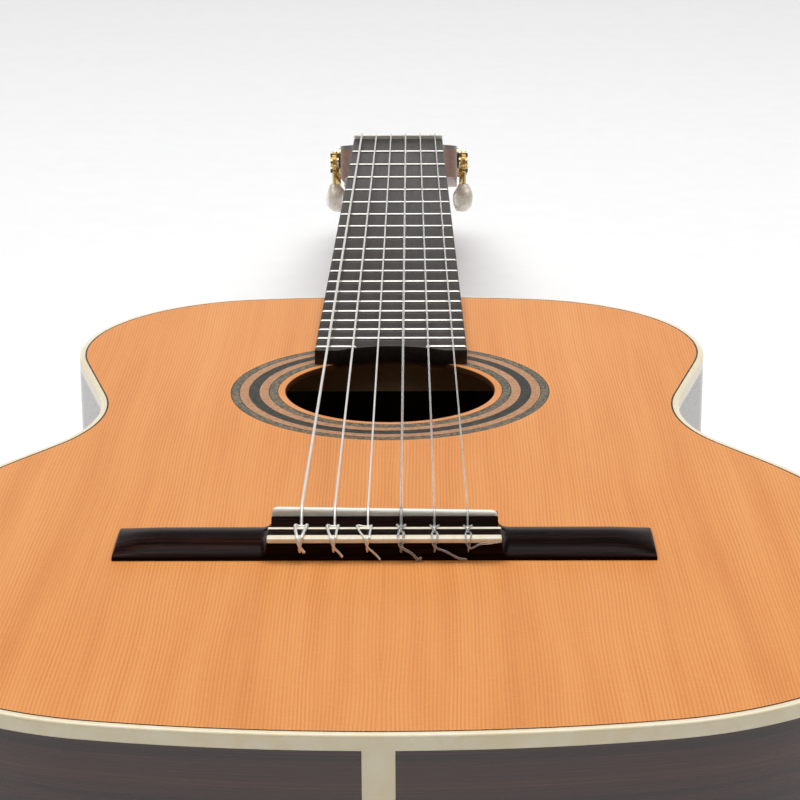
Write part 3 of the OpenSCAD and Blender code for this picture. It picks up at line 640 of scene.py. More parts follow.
CEDAR = cedar_material()
ROSEWOOD = dark_wood_material("Rosewood", ROSEWOOD_TONES, "Y", streak=0.10)
SIDE_WOOD = dark_wood_material("Rosewood sides", ROSEWOOD_TONES, "Y", streak=0.14, bent=True)
BRIDGE_WOOD = dark_wood_material("Rosewood bridge", BRIDGE_TONES, "X", streak=0.55, rough=(0.16, 0.28),
                                 coat=0.0, pore=0.4, shine=0.16, index=1.17)
EBONY = dark_wood_material("Ebony", EBONY_TONES, "Y", streak=0.35, rough=(0.34, 0.48), coat=0.0, pore=0.8)
DARK_LINE = dark_wood_material("Dark line", LINE_TONES, "Y")
CEDRO = neck_material()
SPRUCE = light_wood_material("Spruce struts", (0.70, 0.53, 0.32), (0.58, 0.40, 0.22))
LINING_WOOD = light_wood_material("Linings", (0.60, 0.42, 0.25), (0.48, 0.31, 0.17))
# Partly the blocks' own brown wood and partly painted shade: the tone is darkened to near black for the shade
# inside the body seen through the soundhole.
BLOCK_WOOD_WITH_PAINTED_SHADE = light_wood_material("Blocks with painted shade", (0.050, 0.024, 0.013), (0.032, 0.014, 0.008), "Z")
CREAM = ivory_material("Cream binding", (0.94, 0.84, 0.62), (0.90, 0.76, 0.50), rough=0.28, scale=0.12)
BONE = ivory_material("Bone", (0.98, 0.95, 0.88), (0.96, 0.91, 0.80), rough=0.2, scale=0.5)
STRIP_BONE = ivory_material("Bone strips", (0.98, 0.91, 0.75), (0.93, 0.81, 0.58), rough=0.22, scale=0.4)
SLEEVE = ivory_material("Roller sleeve", (0.88, 0.84, 0.74), (0.80, 0.74, 0.60), rough=0.3, scale=0.6)
NICKEL = metal_material("Nickel silver", (0.60, 0.59, 0.55), (0.4, 8.0, 8.0), (0.55, 0.50, 0.42), 0.35)
BRASS = metal_material("Brass", (0.82, 0.62, 0.28), (6.0, 0.3, 6.0), (0.38, 0.24, 0.09), 0.5)
NYLON = nylon_material()
WOUND = wound_material()
PEARL = pearl_material()
INNER_MOSAIC = mosaic_material("Inner mosaic", GREY_TILES, 0, 270, 4, 4.0)
TAN_RING = mosaic_material("Tan ring", TAN_TILES, 1, 240, 3, 3.8, (0.34, 0.17, 0.09))
DARK_MOSAIC = mosaic_material("Dark mosaic", DARK_TILES, 2, 300, 4, 4.5)
GREY_MOSAIC = mosaic_material("Grey mosaic", GREY_TILES, 4, 360, 4, 3.8)

# ---- soundboard, rosette, binding


def circle_at(point, radius, z):
    """The point on a circle round the soundhole's centre in the direction of a point of the outline."""
    d = vec(point.x, point.y - HOLE_Y).normalized()
    return vec(d.x * radius, HOLE_Y + d.y * radius, z)


def make_soundboard():
    """One skin from the purfling to the soundhole, with a sunk seat for the rosette."""
    far = ROSETTE_R[5]
    near = ROSETTE_R[0]
    deep = TOP - ROSETTE_DEEP
    profile = [
        (far, TOP), (far, deep), (near, deep), (near, TOP), (HOLE_R + 0.35, TOP),
        (HOLE_R + 0.1, TOP - 0.1), (HOLE_R, TOP - 0.35), (HOLE_R, TOP - TOP_THICK),
    ]
    rings = []
    for p in outline(SIDE_THICK + PURFLING):
        ring = [circle_at(p, radius, z) for radius, z in profile]
        rings.append([vec(p.x, p.y, TOP)] + ring + [vec(p.x, p.y, TOP - TOP_THICK)])
    loft("Soundboard", rings, CEDAR, closed=True, slot="cedar_top", replaces=["soundboard"])


def flat_ring(name, r0, r1, material, steps=288, **options):
    """A flat ring let into the soundboard round the soundhole."""
    deep = TOP - ROSETTE_DEEP
    rings = []
    for i in range(steps):
        d = polar((0, 0), 1, 360 * i / steps)
        section = (r0, deep), (r0, TOP), (r1, TOP), (r1, deep)
        rings.append([vec(d.x * r, HOLE_Y + d.y * r, z) for r, z in section])
    return loft(name, rings, material, closed=True, slot="rosette_inlay", **options)


def make_rosette():
    """Five mosaic rings, with a thin line of dark veneer on both sides of each patterned one."""
    names = ["Rosette_inner_grey", "Rosette_tan_1", "Rosette_dark", "Rosette_tan_2", "Rosette_outer_grey"]
    looks = [INNER_MOSAIC, TAN_RING, DARK_MOSAIC, TAN_RING, GREY_MOSAIC]
    for i, (name, look) in enumerate(zip(names, looks)):
        patterned = i % 2 == 0
        edge = LINE_WIDE if patterned else 0
        flat_ring(name, ROSETTE_R[i] + edge, ROSETTE_R[i + 1] - edge, look, replaces=["rosette"])
        if patterned:
            flat_ring(name + "_line_in", ROSETTE_R[i], ROSETTE_R[i] + edge, DARK_LINE)
            flat_ring(name + "_line_out", ROSETTE_R[i + 1] - edge, ROSETTE_R[i + 1], DARK_LINE)


def make_binding(name, face, far, down):
    """A cream strip with its outer edge rounded, from the flat face to the far edge on the side."""
    outer = [(0, far)] + round_corner(0, face, EDGE_ROUND, down)
    inner = [(SIDE_THICK, face), (SIDE_THICK, far)]
    band(name, outer + inner, CREAM, slot="cream_binding", replaces=[name.lower()])


def make_edges():
    """Both bindings, and the purfling inside the top one."""
    make_binding("Top_binding", TOP, TOP - BINDING_HIGH, False)
    a, b, low = SIDE_THICK, SIDE_THICK + PURFLING, TOP - TOP_THICK
    band("Top_purfling", [(a, low), (a, TOP), (b, TOP), (b, low)], DARK_LINE,
         slot="dark_line", replaces=["top_purfling"])
    make_binding("Back_binding", BACK_LOW.z, BACK_LOW.z + BINDING_HIGH, True)


def make_sides():
    """Each side is bent from one strip, from the neck block's web to the end graft."""
    web_half = 9
    graft_half = 5
    low, high = BACK_LOW.z + BINDING_HIGH, TOP - BINDING_HIGH
    for sign, node in ((1, "side_treble"), (-1, "side_bass")):
        outer, inner = half_outline(0), half_outline(SIDE_THICK)
        pairs = [(a, b) for a, b in zip(outer, inner)
                 if not (a.y > 0 and a.x < web_half) and not (a.y < 0 and a.x < graft_half)]
        first = vec(web_half, JOINT_Y - 0.09), vec(web_half, JOINT_Y - SIDE_THICK - 0.09)
        last = vec(graft_half, TAIL_Y + 0.03), vec(graft_half, TAIL_Y + SIDE_THICK + 0.03)
        rings = []
        for a, b in [first] + pairs + [last]:
            rings.append([vec(sign * p.x, p.y, z) for p, z in ((a, low), (a, high), (b, high), (b, low))])
        loft(node.capitalize(), rings, SIDE_WOOD, slot="rosewood_body", replaces=[node])


# ---- shapes built on outlines


def round_path(corners, steps=5):
    """A closed outline from (u, v, radius) corners, each rounded by its radius."""
    points = []
    n = len(corners)
    for i, (u, v, r) in enumerate(corners):
        here = vec(u, v)
        if r <= 0:
            points.append(here)
            continue
        before = Vector(corners[i - 1][:2]) - here
        after = Vector(corners[(i + 1) % n][:2]) - here
        half = before.angle(after) / 2
        reach = min(r / tan(half), before.length * 0.49, after.length * 0.49)
        p, q = here + before.normalized() * reach, here + after.normalized() * reach
        for k in range(steps + 1):
            t = k / steps
            points.append(p * (1 - t) ** 2 + here * 2 * t * (1 - t) + q * t * t)
    return points


def area(points):
    """Positive for an outline that runs anticlockwise."""
    return sum(a.cross(b) for a, b in zip(points, points[1:] + points[:1])) / 2


def shrink(points, distance):
    """A closed outline moved inwards along its own normals."""
    n = len(points)
    turn = 1 if area(points) > 0 else -1
    moved = []
    for i, p in enumerate(points):
        a = (p - points[i - 1]).normalized()
        b = (points[(i + 1) % n] - p).normalized()
        t = (a + b).normalized()
        reach = min(2.0, 1 / max(0.3, t.dot(a)))
        moved.append(p + vec(-t.y, t.x) * turn * distance * reach)
    return moved


def slab(name, points, low, high, material, place, edge=0.4, steps=3, **options):
    """An outline extruded from low to high with rounded rims; place turns (u, v, w) into a point."""
    levels = []
    for k in range(steps + 1):
        a = radians(90 * k / steps)
        levels.append((low + edge * (1 - sin(a)), edge * (1 - cos(a))))
    levels = levels[::-1] + [(low + high - w, inset) for w, inset in levels]
    rings = [[place(p.x, p.y, w) for p in shrink(points, inset)] for w, inset in levels]
    return loft(name, rings, material, **options)


def upright(u, v, w):
    return vec(u, v, w)


def along_x(u, v, w):
    """An outline drawn in y and z."""
    return vec(w, u, v)


HEAD_ORIGIN = vec(0, NUT_BACK, TOP + HEAD_LIFT)
COS, SIN = cos(HEAD_TILT), sin(HEAD_TILT)


def head_point(x, y, z):
    return HEAD_ORIGIN + vec(x, y * COS + z * SIN, -y * SIN + z * COS)


def turned(name, profile, centre, axis, material, steps=32, place=head_point, **options):
    """A lathe shape round a line along x or z; profile lists (radius, along)."""
    rings = []
    for radius, along in profile:
        ring = []
        for k in range(steps):
            a = 2 * pi * k / steps
            u, v = radius * cos(a), radius * sin(a)
            if axis == "x":
                ring.append(place(along, centre[0] + u, centre[1] + v))
            else:
                ring.append(place(centre[0] + u, centre[1] + v, along))
        rings.append(ring)
    return loft(name, rings, material, **options)


# ---- bridge

FRONT, BACK = BRIDGE_LOW.y - SADDLE_Y, BRIDGE_HIGH.y - SADDLE_Y
WING_END = BRIDGE_HIGH.x
WING_EDGE, WING_CROWN, WING_THINS = 1.6, 4.2, 78
BLOCK_HALF = 40.6
TIE_HIGH, TIE_BACK = 8.2, -8.8
RAMP_LOW, RIDGE_FRONT, RIDGE_BACK, RIDGE_HIGH = 4.2, -3.6, 2.2, 10
SADDLE_THICK, SADDLE_FOOT = 2.8, 4.2
HOLE_IN, HOLE_OUT, STRING_HOLE_R = 5.6, 3.1, 0.95
STRIP_FRONT, STRIP_BACK = (3.4, 1.7), (2.3, 0.9)
FILLET = 3.0
BLOCK_EASE = 0.5
WHOLE = 99


def on_bridge(u, v, w):
    return vec(w, SADDLE_Y + u, TOP + v)


def wing_height(x, y):
    """A nearly flat wing that rounds down to a thin edge at the sides and thins out towards its end."""
    middle, half = (FRONT + BACK) / 2, (BACK - FRONT) / 2
    swell = 1 - abs((y - middle) / half) ** 3.2
    thinning = 1 - max(0, (abs(x) - WING_THINS) / (WING_END - WING_THINS)) ** 2 * 0.75
    arch = WING_EDGE + (WING_CROWN - WING_EDGE) * swell * thinning
    rim = max(0, min(WING_END - abs(x), 0.8)) / 0.8
    fore = max(0, min(y - FRONT, BACK - y, 0.5)) / 0.5
    return arch - 0.45 * (1 - sqrt(1 - (1 - rim) ** 2)) - 0.3 * (1 - sqrt(max(0, 1 - (1 - fore) ** 2)))


def block_profile():
    """The tie block, the ramp, the ridge with its slot and the slope behind, as open (y, z) points."""
    middle = SADDLE_MIDDLE - SADDLE_Y
    slot_a, slot_b = middle - SADDLE_THICK / 2, middle + SADDLE_THICK / 2
    corners = [
        (FRONT, 0, 0), (FRONT, TIE_HIGH - STRIP_FRONT[1], 0),
        (FRONT + STRIP_FRONT[0], TIE_HIGH - STRIP_FRONT[1], 0), (FRONT + STRIP_FRONT[0], TIE_HIGH, 0),
        (TIE_BACK - STRIP_BACK[0], TIE_HIGH, 0), (TIE_BACK - STRIP_BACK[0], TIE_HIGH - STRIP_BACK[1], 0),
        (TIE_BACK, TIE_HIGH - STRIP_BACK[1], 0), (TIE_BACK, RAMP_LOW, 0.5),
        (RIDGE_FRONT, RIDGE_HIGH, 0.3),
        (slot_a, RIDGE_HIGH, 0.15), (slot_a, SADDLE_FOOT, 0),
        (slot_b, SADDLE_FOOT, 0), (slot_b, RIDGE_HIGH, 0.15),
        (RIDGE_BACK, RIDGE_HIGH, 1.0), (BACK - 2, 6, 2.5), (BACK, 3, 1.2), (BACK, 0, 0),
    ]
    return round_path(corners)


def bridge_stations():
    """Sections as (x, how far the profile may stand above the wing, rounding of the block's end)."""
    stations = [(WING_END - inward, 0, 0) for inward in (0, 0.05, 0.2, 0.5, 0.8)]
    stations += [(WING_END - 1.2 - 2.5 * k, 0, 0) for k in range(20)]
    for k in range(9):
        u = FILLET * (1 - k / 8)
        stations.append((BLOCK_HALF + u, FILLET - sqrt(FILLET ** 2 - (FILLET - u) ** 2), 0))
    for k in range(5):
        a = radians(90 * k / 4)
        stations.append((BLOCK_HALF - BLOCK_EASE * (1 - cos(a)), WHOLE, BLOCK_EASE * (1 - sin(a))))
    stations += [(x, WHOLE, 0) for x in (BLOCK_HALF - 5, 20, 0)]
    return [(-x, f, e) for x, f, e in stations] + stations[-2::-1]


def bridge_ring(profile, x, fillet, ease):
    """One section: the block's profile where the block is, and the wing's top where it isn't."""
    ring = []
    for p in profile:
        base = wing_height(x, p.x)
        if p.y == 0:
            ring.append(on_bridge(p.x, 0, x))
            continue
        block = fillet == WHOLE and p.y - ease <= base
        high = p.y if block else base + min(max(0, p.y - ease - base), fillet)
        lean = 0.0
        if p.x > TIE_BACK + 0.01:
            near = min(1, max(0, BLOCK_HALF + FILLET - abs(x)) / FILLET)
            lean = 0.9 * min(1, max(0, abs(x) - 38) / 2) * near
        ring.append(on_bridge(p.x, high, copysign(abs(x) - lean, x)))
    return ring


def make_bridge():
    """The block with its wings, cut through by the six string holes."""
    profile = block_profile()
    spread = [lerp(FRONT, BACK, k / 40) for k in range(41)]
    dense = []
    for a, b in zip(profile, profile[1:]):
        dense.append(a)
        dense += [a.lerp(b, (y - a.x) / (b.x - a.x)) for y in spread if a.x + 0.2 < y < b.x - 0.2]
    dense.append(profile[-1])
    rings = [bridge_ring(dense, *station) for station in bridge_stations()]
    bridge = loft("Bridge", rings, BRIDGE_WOOD, slot="rosewood_bridge", replaces=["bridge"], sharp=32)
    ends = [(hole_end(i, FRONT - 2), hole_end(i, TIE_BACK + 1.5)) for i in range(1, 7)]
    cut(bridge, [tool_rod(a, b, STRING_HOLE_R, 20) for a, b in ends])
    shade(bridge, 32)


def hole_end(i, y):
    t = (y - FRONT) / (TIE_BACK - FRONT)
    return vec(x_saddle(i), SADDLE_Y + y, TOP + lerp(HOLE_OUT, HOLE_IN, t))


def make_strips():
    """The two bone strips along the edges of the tie block."""
    for name, edge, size, radii, rim, steps in (
            ("Tie_strip_front", FRONT, STRIP_FRONT, (1.1, 0.05), 0.7, 6),
            ("Tie_strip_back", TIE_BACK - STRIP_BACK[0], STRIP_BACK, (0.05, 0.45), 0.35, 4)):
        far, low = edge + size[0], TIE_HIGH - size[1]
        corners = [(edge, low, 0), (edge, TIE_HIGH, radii[0]), (far, TIE_HIGH, radii[1]), (far, low, 0)]
        slab(name, round_path(corners, steps), -BLOCK_HALF, BLOCK_HALF, STRIP_BONE, on_bridge, rim, 5,
             slot="cream_binding", replaces=["tie_block_inlays"])


def make_saddle():
    high = [z_saddle(i) - TOP for i in (6, 1)]
    half = SADDLE_HIGH.x
    middle, tilt = sum(high) / 2, (high[1] - high[0]) / 2 * half / (SADDLE_SPREAD / 2)
    shape = round_path([
        (-half, SADDLE_FOOT, 0), (half, SADDLE_FOOT, 0),
        (half, middle + tilt, 2.6), (-half, middle - tilt, 2.6)], 8)
    a = SADDLE_MIDDLE - SADDLE_THICK / 2
    slab("Saddle", shape, a, a + SADDLE_THICK, BONE, lambda u, v, w: vec(u, w, TOP + v), 1.35, 8,
         slot="bone", replaces=["saddle"])


# ---- strings


def r_of(i):
    return STRING_D[i - 1] / 2


def x_nut(i):
    return NUT_SPREAD / 2 - (i - 1) * NUT_SPREAD / 5


def x_saddle(i):
    return SADDLE_SPREAD / 2 - (i - 1) * SADDLE_SPREAD / 5


def z_saddle(i):
    return NUT_STRING_Z + 2 * (FRET_Z + lerp(2.3, 2.8, (i - 1) / 5) - NUT_STRING_Z)


def side_of(i):
    return 1 if i <= 3 else -1


def post_of(i):
    return i - 1 if i <= 3 else 6 - i


POST_X = [20.4, 15.6, 14]


def winding_way(i):
    return 1 if post_of(i) == 2 else -1


def tangent_point(i):
    r = ROLLER_R + HAIR + r_of(i)
    start = vec(1.6, NUT_STRING_Z - TOP - HEAD_LIFT + r_of(i))
    post = vec(POST_Y[post_of(i)], POST_Z)
    v = start - post
    return post + r * polar((0, 0), 1, bearing(v) - degrees(acos(r / v.length)))


def bass_knot(i):
    """From the free end up over the tie block, round the string, back over and down into the hole."""
    g = r_of(i) + HAIR
    spread = {4: (4.4, 1.0, 3.8, 1.25), 5: (3.0, 2.0, 2.6, 1.3), 6: (1.5, 3.6, 2.1, 2.0)}
    end_x, end_z, left, right = spread[i]
    f, b, high = FRONT, TIE_BACK, TIE_HIGH
    top = high + g
    return [
        (end_x, f - g - 1.1, end_z), (end_x * 0.62, f - 2.4 * g, lerp(end_z, 5.4, 0.42)),
        (0.35, f - 3.0 * g, 5.2), (-0.45, f - 2.6 * g, 6.6), (-0.95, f - 0.9 * g, high + 0.6 * g),
        (-lerp(0.9, left, 0.15), f + 0.9, top), (-lerp(0.9, left, 0.55), f + 4.5, top),
        (-lerp(0.9, left, 0.92), b - 1.9, top), (-left, b - 0.4, top),
        (-left * 0.86, b + 0.7 * g, high + 0.8 * g), (-left * 0.45, b + g + 0.15, high - 0.1),
        (0, b + g + 0.15, high - 0.2), (right * 0.6, b + g + 0.1, high - 0.1),
        (right, b + 0.6 * g, high + 0.8 * g), (right, b - 0.8, top), (lerp(0.5, right, 0.5), f + 5, top),
        (lerp(0.7, right, 0.12), f + 0.9, top), (0.65, f - 0.75 * g, high + 0.6 * g),
        (0.2, f - g, high - 1.7), (-0.15, f - g, HOLE_OUT + 1.9),
        (-0.05, f - 0.8 * g, HOLE_OUT + 0.5), (0, f + 0.6, HOLE_OUT + 0.14),
    ]


def treble_knot(i):
    """As the basses, with a second twist of the two legs over the tie block and a long free end."""
    g = r_of(i) + HAIR
    tails = {
        1: [(10.5, -1.6, 7.6), (8.0, -1.7, 7.1), (4.0, -1.6, 6.6)],
        2: [(11.0, -1.5, 0.9), (8.0, -1.8, 1.6), (4.0, -1.6, 3.8)],
        3: [(6.9, -1.2, 1.6), (6.2, -1.3, 0.7), (3.6, -1.4, 3.2)],
    }
    f, b, high = FRONT, TIE_BACK, TIE_HIGH
    top = high + g
    return [(x, f + y, z) for x, y, z in tails[i]] + [
        (0.9, f - 3.1 * g, 5.0), (-0.3, f - 2.9 * g, 6.0), (-0.9, f - 1.2 * g, high + 0.3),
        (-0.95, f + 0.6, top), (-0.75, f + 4.2, top), (0.1, f + 5.9, high + 2.6 * g),
        (1.0, b - 1.6, high + 1.2 * g), (1.4, b - 0.4, top), (1.35, b + 0.9 * g, high + 0.7 * g),
        (0.7, b + g + 0.2, high - 0.2), (0, b + g + 0.25, high - 0.3), (-0.7, b + g + 0.2, high - 0.2),
        (-1.35, b + 0.9 * g, high + 0.7 * g), (-1.4, b - 0.4, top), (-1.0, b - 1.6, top),
        (0.0, f + 5.9, high + 0.95 * g), (0.8, f + 4.2, top), (0.95, f + 0.6, top),
        (0.85, f - 0.8 * g, high + 0.5 * g), (0.45, f - g, high - 1.8), (0.1, f - g, HOLE_OUT + 1.5),
        (0, f - 0.8 * g, HOLE_OUT + 0.4), (0, f + 0.6, HOLE_OUT + 0.14),
    ]


def wire_object(name, points, radius, material, body, slot, replaces=(), sides=14):
    """A round wire along points, with its own length in millimetres kept on every vertex."""
    rings = tube_rings(points, radius, sides)
    caps = []
    for end, inside, ring in ((points[0], points[1], rings[0]), (points[-1], points[-2], rings[-1])):
        bulge = (end - inside).normalized() * radius * 0.35
        caps.append([end.lerp(p, 0.55) + bulge for p in ring])
    rings = [caps[0]] + rings + [caps[1]]
    faces = [face[::-1] for face in loft_faces(len(rings), sides)]
    run, lengths = 0.0, [0.0, 0.0]
    for a, b in zip(points, points[1:]):
        run += (b - a).length
        lengths.append(run)
    lengths.append(run)
    marks = [length for length in lengths for _ in range(sides)]
    wire = build_object(name, [p for ring in rings for p in ring], faces, lengths=marks)
    return finish_piece(wire, material, body, slot, replaces, sharp=50)


def string_look(i):
    return (NYLON, "nylon") if i <= 3 else (WOUND, "wound_silver")


def make_string(i):
    """Knot, hole, saddle, nut and the straight run to the roller as one wire."""
    g = r_of(i) + HAIR
    knot = treble_knot(i) if i <= 3 else bass_knot(i)
    x = x_saddle(i)
    tied = curve_through([vec(x + dx, SADDLE_Y + y, TOP + z) for dx, y, z in knot], 0.3)
    contact = SADDLE_MIDDLE
    t = tangent_point(i)
    nut_in = vec(x_nut(i), NUT_Y, NUT_STRING_Z + g)
    nut_out = vec(x_nut(i), NUT_BACK, NUT_STRING_Z + g - 0.1)
    stops = [
        hole_end(i, TIE_BACK),
        vec(x, contact - SADDLE_THICK / 2, z_saddle(i) + g),
        vec(x, contact + SADDLE_THICK / 2, z_saddle(i) + g),
        nut_in, nut_out,
        head_point(side_of(i) * POST_X[post_of(i)], t.x, t.y),
    ]
    run = []
    for a, b in zip(stops, stops[1:]):
        count = max(2, int((b - a).length / 6))
        run += [a.lerp(b, k / count) for k in range(count)]
    run.append(stops[-1])
    look, slot = string_look(i)
    wire_object(f"String_{i}", tied + run, r_of(i), look, "root", slot, [f"string_{i}"])


# ---- neck, fingerboard, frets, nut


def board_half(y):
    return NUT_HALF + (JOINT_HALF - NUT_HALF) * (NUT_Y - y) / (NUT_Y - JOINT_Y)


def fret_y(n):
    return SADDLE_Y + SCALE * 2 ** (-n / 12)


def make_fingerboard():
    """A flat board that widens towards the body, with its end cut round the soundhole."""
    reach = sqrt(BOARD_CUT_R ** 2 - (BOARD_END - HOLE_Y) ** 2)
    start = bearing((reach, BOARD_END - HOLE_Y))
    curve = arc((0, HOLE_Y), BOARD_CUT_R, 180 - start, start, 32)
    shape = [vec(-board_half(BOARD_END), BOARD_END)] + curve
    shape += [vec(board_half(BOARD_END), BOARD_END), vec(NUT_HALF, NUT_Y), vec(-NUT_HALF, NUT_Y)]
    slab("Fingerboard", shape, TOP, BOARD_Z, EBONY, upright, 0.35, 3,
         slot="ebony_board", replaces=["fingerboard"])


FRET_HALF = 1.2
FRET_FOOT = 0.2
FRET_FILED = 0.8


def fret_rings(y, x0, x1):
    """One fret: a low domed bar with filed ends, and a shallow foot in the board."""
    rings = []
    ends = [(1, 0), (0.8, 0.55 * FRET_FILED), (0.35, FRET_FILED)]
    for x, share, back in [(x0, *e) for e in ends[::-1]] + [(x1, share, -back) for share, back in ends]:
        ring = [vec(x - back, y - FRET_HALF, BOARD_Z - FRET_FOOT)]
        for k in range(9):
            a = radians(180 - 22.5 * k)
            ring.append(vec(x - back, y + FRET_HALF * cos(a), BOARD_Z + FRET_HIGH * share * sin(a) ** 0.8))
        ring.append(vec(x - back, y + FRET_HALF, BOARD_Z - FRET_FOOT))
        rings.append(ring)
    return rings


def make_frets():
    """All nineteen frets, where the last one stops at both sides of the soundhole's cut."""
    verts, faces = [], []
    for n in range(1, 20):
        y = fret_y(n)
        half = board_half(y) - 0.15
        spans = [(-half, half)]
        if abs(y - HOLE_Y) < BOARD_CUT_R:
            gap = sqrt(BOARD_CUT_R ** 2 - (y - HOLE_Y) ** 2)
            spans = [(-half, -gap), (gap, half)]
        for a, b in spans:
            rings = fret_rings(y, a + FRET_FILED, b - FRET_FILED)
            start = len(verts)
            verts += [p for ring in rings for p in ring]
            bar = loft_faces(len(rings), len(rings[0]))
            faces += [tuple(start + v for v in face) for face in bar]
    frets = build_object("Frets", verts, faces, True)
    finish_piece(frets, NICKEL, slot="fret_metal", replaces=["frets"], sharp=50)


def make_nut():
    """The nut with a round-bottomed slot for each string."""
    low, high, back = TOP, NUT_HIGH.z, NUT_BACK
    section = round_path([(NUT_Y, low, 0), (NUT_Y, high, 0.5), (back, high - 0.6, 1.6), (back, low, 0)])
    nut = slab("Nut", section, -NUT_HALF, NUT_HALF, BONE, along_x, 0.35, 3, slot="bone", replaces=["nut"])
    tools = []
    for i in range(1, 7):
        g = r_of(i) + HAIR
        for lift in (0, 0.45, 0.9):
            z = NUT_STRING_Z + g + lift
            tools.append(tool_rod((x_nut(i), NUT_Y - 2, z + 0.03), (x_nut(i), back + 2, z - 0.13), g, 16))
    cut(nut, tools)
    shade(nut, 35)


HEEL_DEEP = TOP - 3.6
HEEL_NOSE, HEEL_THROAT = 19, 60
SHAFT = (15.5, 17)


def neck_half(y):
    return NUT_HALF if y > NUT_Y else lerp(NUT_HALF, JOINT_HALF, (NUT_Y - y) / (NUT_Y - JOINT_Y))


def head_blend(y):
    return smooth((y - (NUT_Y - 26)) / (26 + NUT_BACK - NUT_Y))


def shaft_depth(y):
    plain = lerp(SHAFT[0], SHAFT[1], max(0, NUT_Y - y) / (NUT_Y - JOINT_Y))
    return lerp(plain, HEAD_THICK / COS - HEAD_LIFT, head_blend(y))


def shaft_power(y):
    return lerp(2.3, 7, head_blend(y))


def ellipse_rise(t):
    t = min(1, max(0, t))
    return 1 - sqrt(1 - (1 - t) ** 2)


def neck_depth(y):
    d = shaft_depth(y)
    return d + (HEEL_DEEP - d) * ellipse_rise((y - JOINT_Y - HEEL_NOSE) / (HEEL_THROAT - HEEL_NOSE))


def neck_x(y, deep):
    p, u = shaft_power(y), min(1, deep / shaft_depth(y))
    shaft = neck_half(y) * max(0, 1 - u ** p) ** (1 / p)
    v = min(1, max(0, (deep - SHAFT[1]) / (HEEL_DEEP - SHAFT[1])))
    nose = HEEL_NOSE + (HEEL_THROAT - HEEL_NOSE) * ellipse_rise(v)
    u = min(1, (y - JOINT_Y) / nose)
    heel = lerp(13, 31, max(0, 1 - deep / HEEL_DEEP) ** 1.8) * sqrt(max(0, 1 - u * u))
    return max(shaft, heel, 0.4)


def make_neck():
    """Heel, shaft and the swell into the head as one skin, and the cap under the heel."""
    levels = 26
    stations = [JOINT_Y + HEEL_NOSE * sin(radians(90 * k / 12)) for k in range(13)]
    stations += [JOINT_Y + lerp(HEEL_NOSE, HEEL_THROAT, (k / 20) ** 1.8) for k in range(1, 21)]
    stations += [lerp(JOINT_Y + HEEL_THROAT, NUT_Y - 26, k / 16) for k in range(1, 17)]
    stations += [lerp(NUT_Y - 26, NUT_BACK, k / 12) for k in range(1, 13)]
    rings = []
    for y in stations:
        d = neck_depth(y)
        heel, p = (d - shaft_depth(y)) / HEEL_DEEP, shaft_power(y)
        right = []
        for k in range(levels + 1):
            share = lerp(sin(pi / 2 * k / levels) ** (2 / p), k / levels, heel)
            right.append(vec(neck_x(y, d * share), y, TOP - d * share))
        rings.append(right + [vec(-q.x, q.y, q.z) for q in reversed(right)])
    loft("Neck", rings, CEDRO, slot="cedar_neck", replaces=["neck"], sharp=40)
    edge = [vec(13 * cos(pi * k / 40), JOINT_Y + HEEL_NOSE * sin(pi * k / 40)) for k in range(41)]
    slab("Heel_cap", edge, 0.6, 3.6, ROSEWOOD, upright, 0.4, 3, slot="rosewood_body", replaces=["heel_cap"])


# ---- head and tuners

HEAD_HALF, HEAD_LENGTH, HEAD_EAR = 35, 194, 2.2
CREST_HALF, CREST_HIGH = 29.2, 12
SLOT_X, SLOT_Y = (9, 24), (22, 139)


def head_outline():
    """The treble edge from below the nut to the crest's top, then the same mirrored."""
    crest = HEAD_LENGTH - CREST_HIGH
    edge = [vec(NUT_HALF, -8)]
    edge += [vec(lerp(NUT_HALF, HEAD_HALF, smooth(k / 16)), lerp(2, 24, k / 16)) for k in range(17)]
    swell = [k / 12 for k in range(13)]
    edge += [vec(HEAD_HALF + HEAD_EAR * smooth(t), lerp(crest - 34, crest - 4, t)) for t in swell]
    turns = [radians(9 * k) for k in range(11)]
    edge += [vec(CREST_HALF + 4 - 4 * sin(a), crest - 4 * cos(a)) for a in turns]
    turns = [radians(3 * k) for k in range(31)]
    edge += [vec(CREST_HALF * cos(a), HEAD_LENGTH - CREST_HIGH * (1 - sin(a))) for a in turns]
    return edge + [vec(-p.x, p.y) for p in reversed(edge[:-1])]


def stadium(x0, x1, y0, y1, steps=16):
    r, middle = (x1 - x0) / 2, (x0 + x1) / 2
    return arc((middle, y1 - r), r, 0, 180, steps) + arc((middle, y0 + r), r, 180, 360, steps)


def slot_tools():
    tools = []
    for sign in (-1, 1):
        a, b = sorted((sign * SLOT_X[0], sign * SLOT_X[1]))
        tools.append(tool_prism(stadium(a, b, *SLOT_Y), -40, 20, lambda p: head_point(*p)))
    return tools


def nut_side_tool():
    a, b = vec(-60, NUT_Y - 60), vec(60, NUT_BACK)
    return tool_prism([a, vec(b.x, a.y), b, vec(a.x, b.y)], -100, 200)


def roller_holes():
    """For each roller a wide hole from the side and a narrow one for the tip of its post."""
    holes = []
    for y in POST_Y:
        for sign in (-1, 1):
            for start, stop, radius, sides in ((22, 60, ROLLER_R + HAIR, 40), (2.5, 11, 3.05, 24)):
                ends = head_point(sign * start, y, POST_Z), head_point(sign * stop, y, POST_Z)
                holes.append(tool_rod(*ends, radius, sides))
    return holes


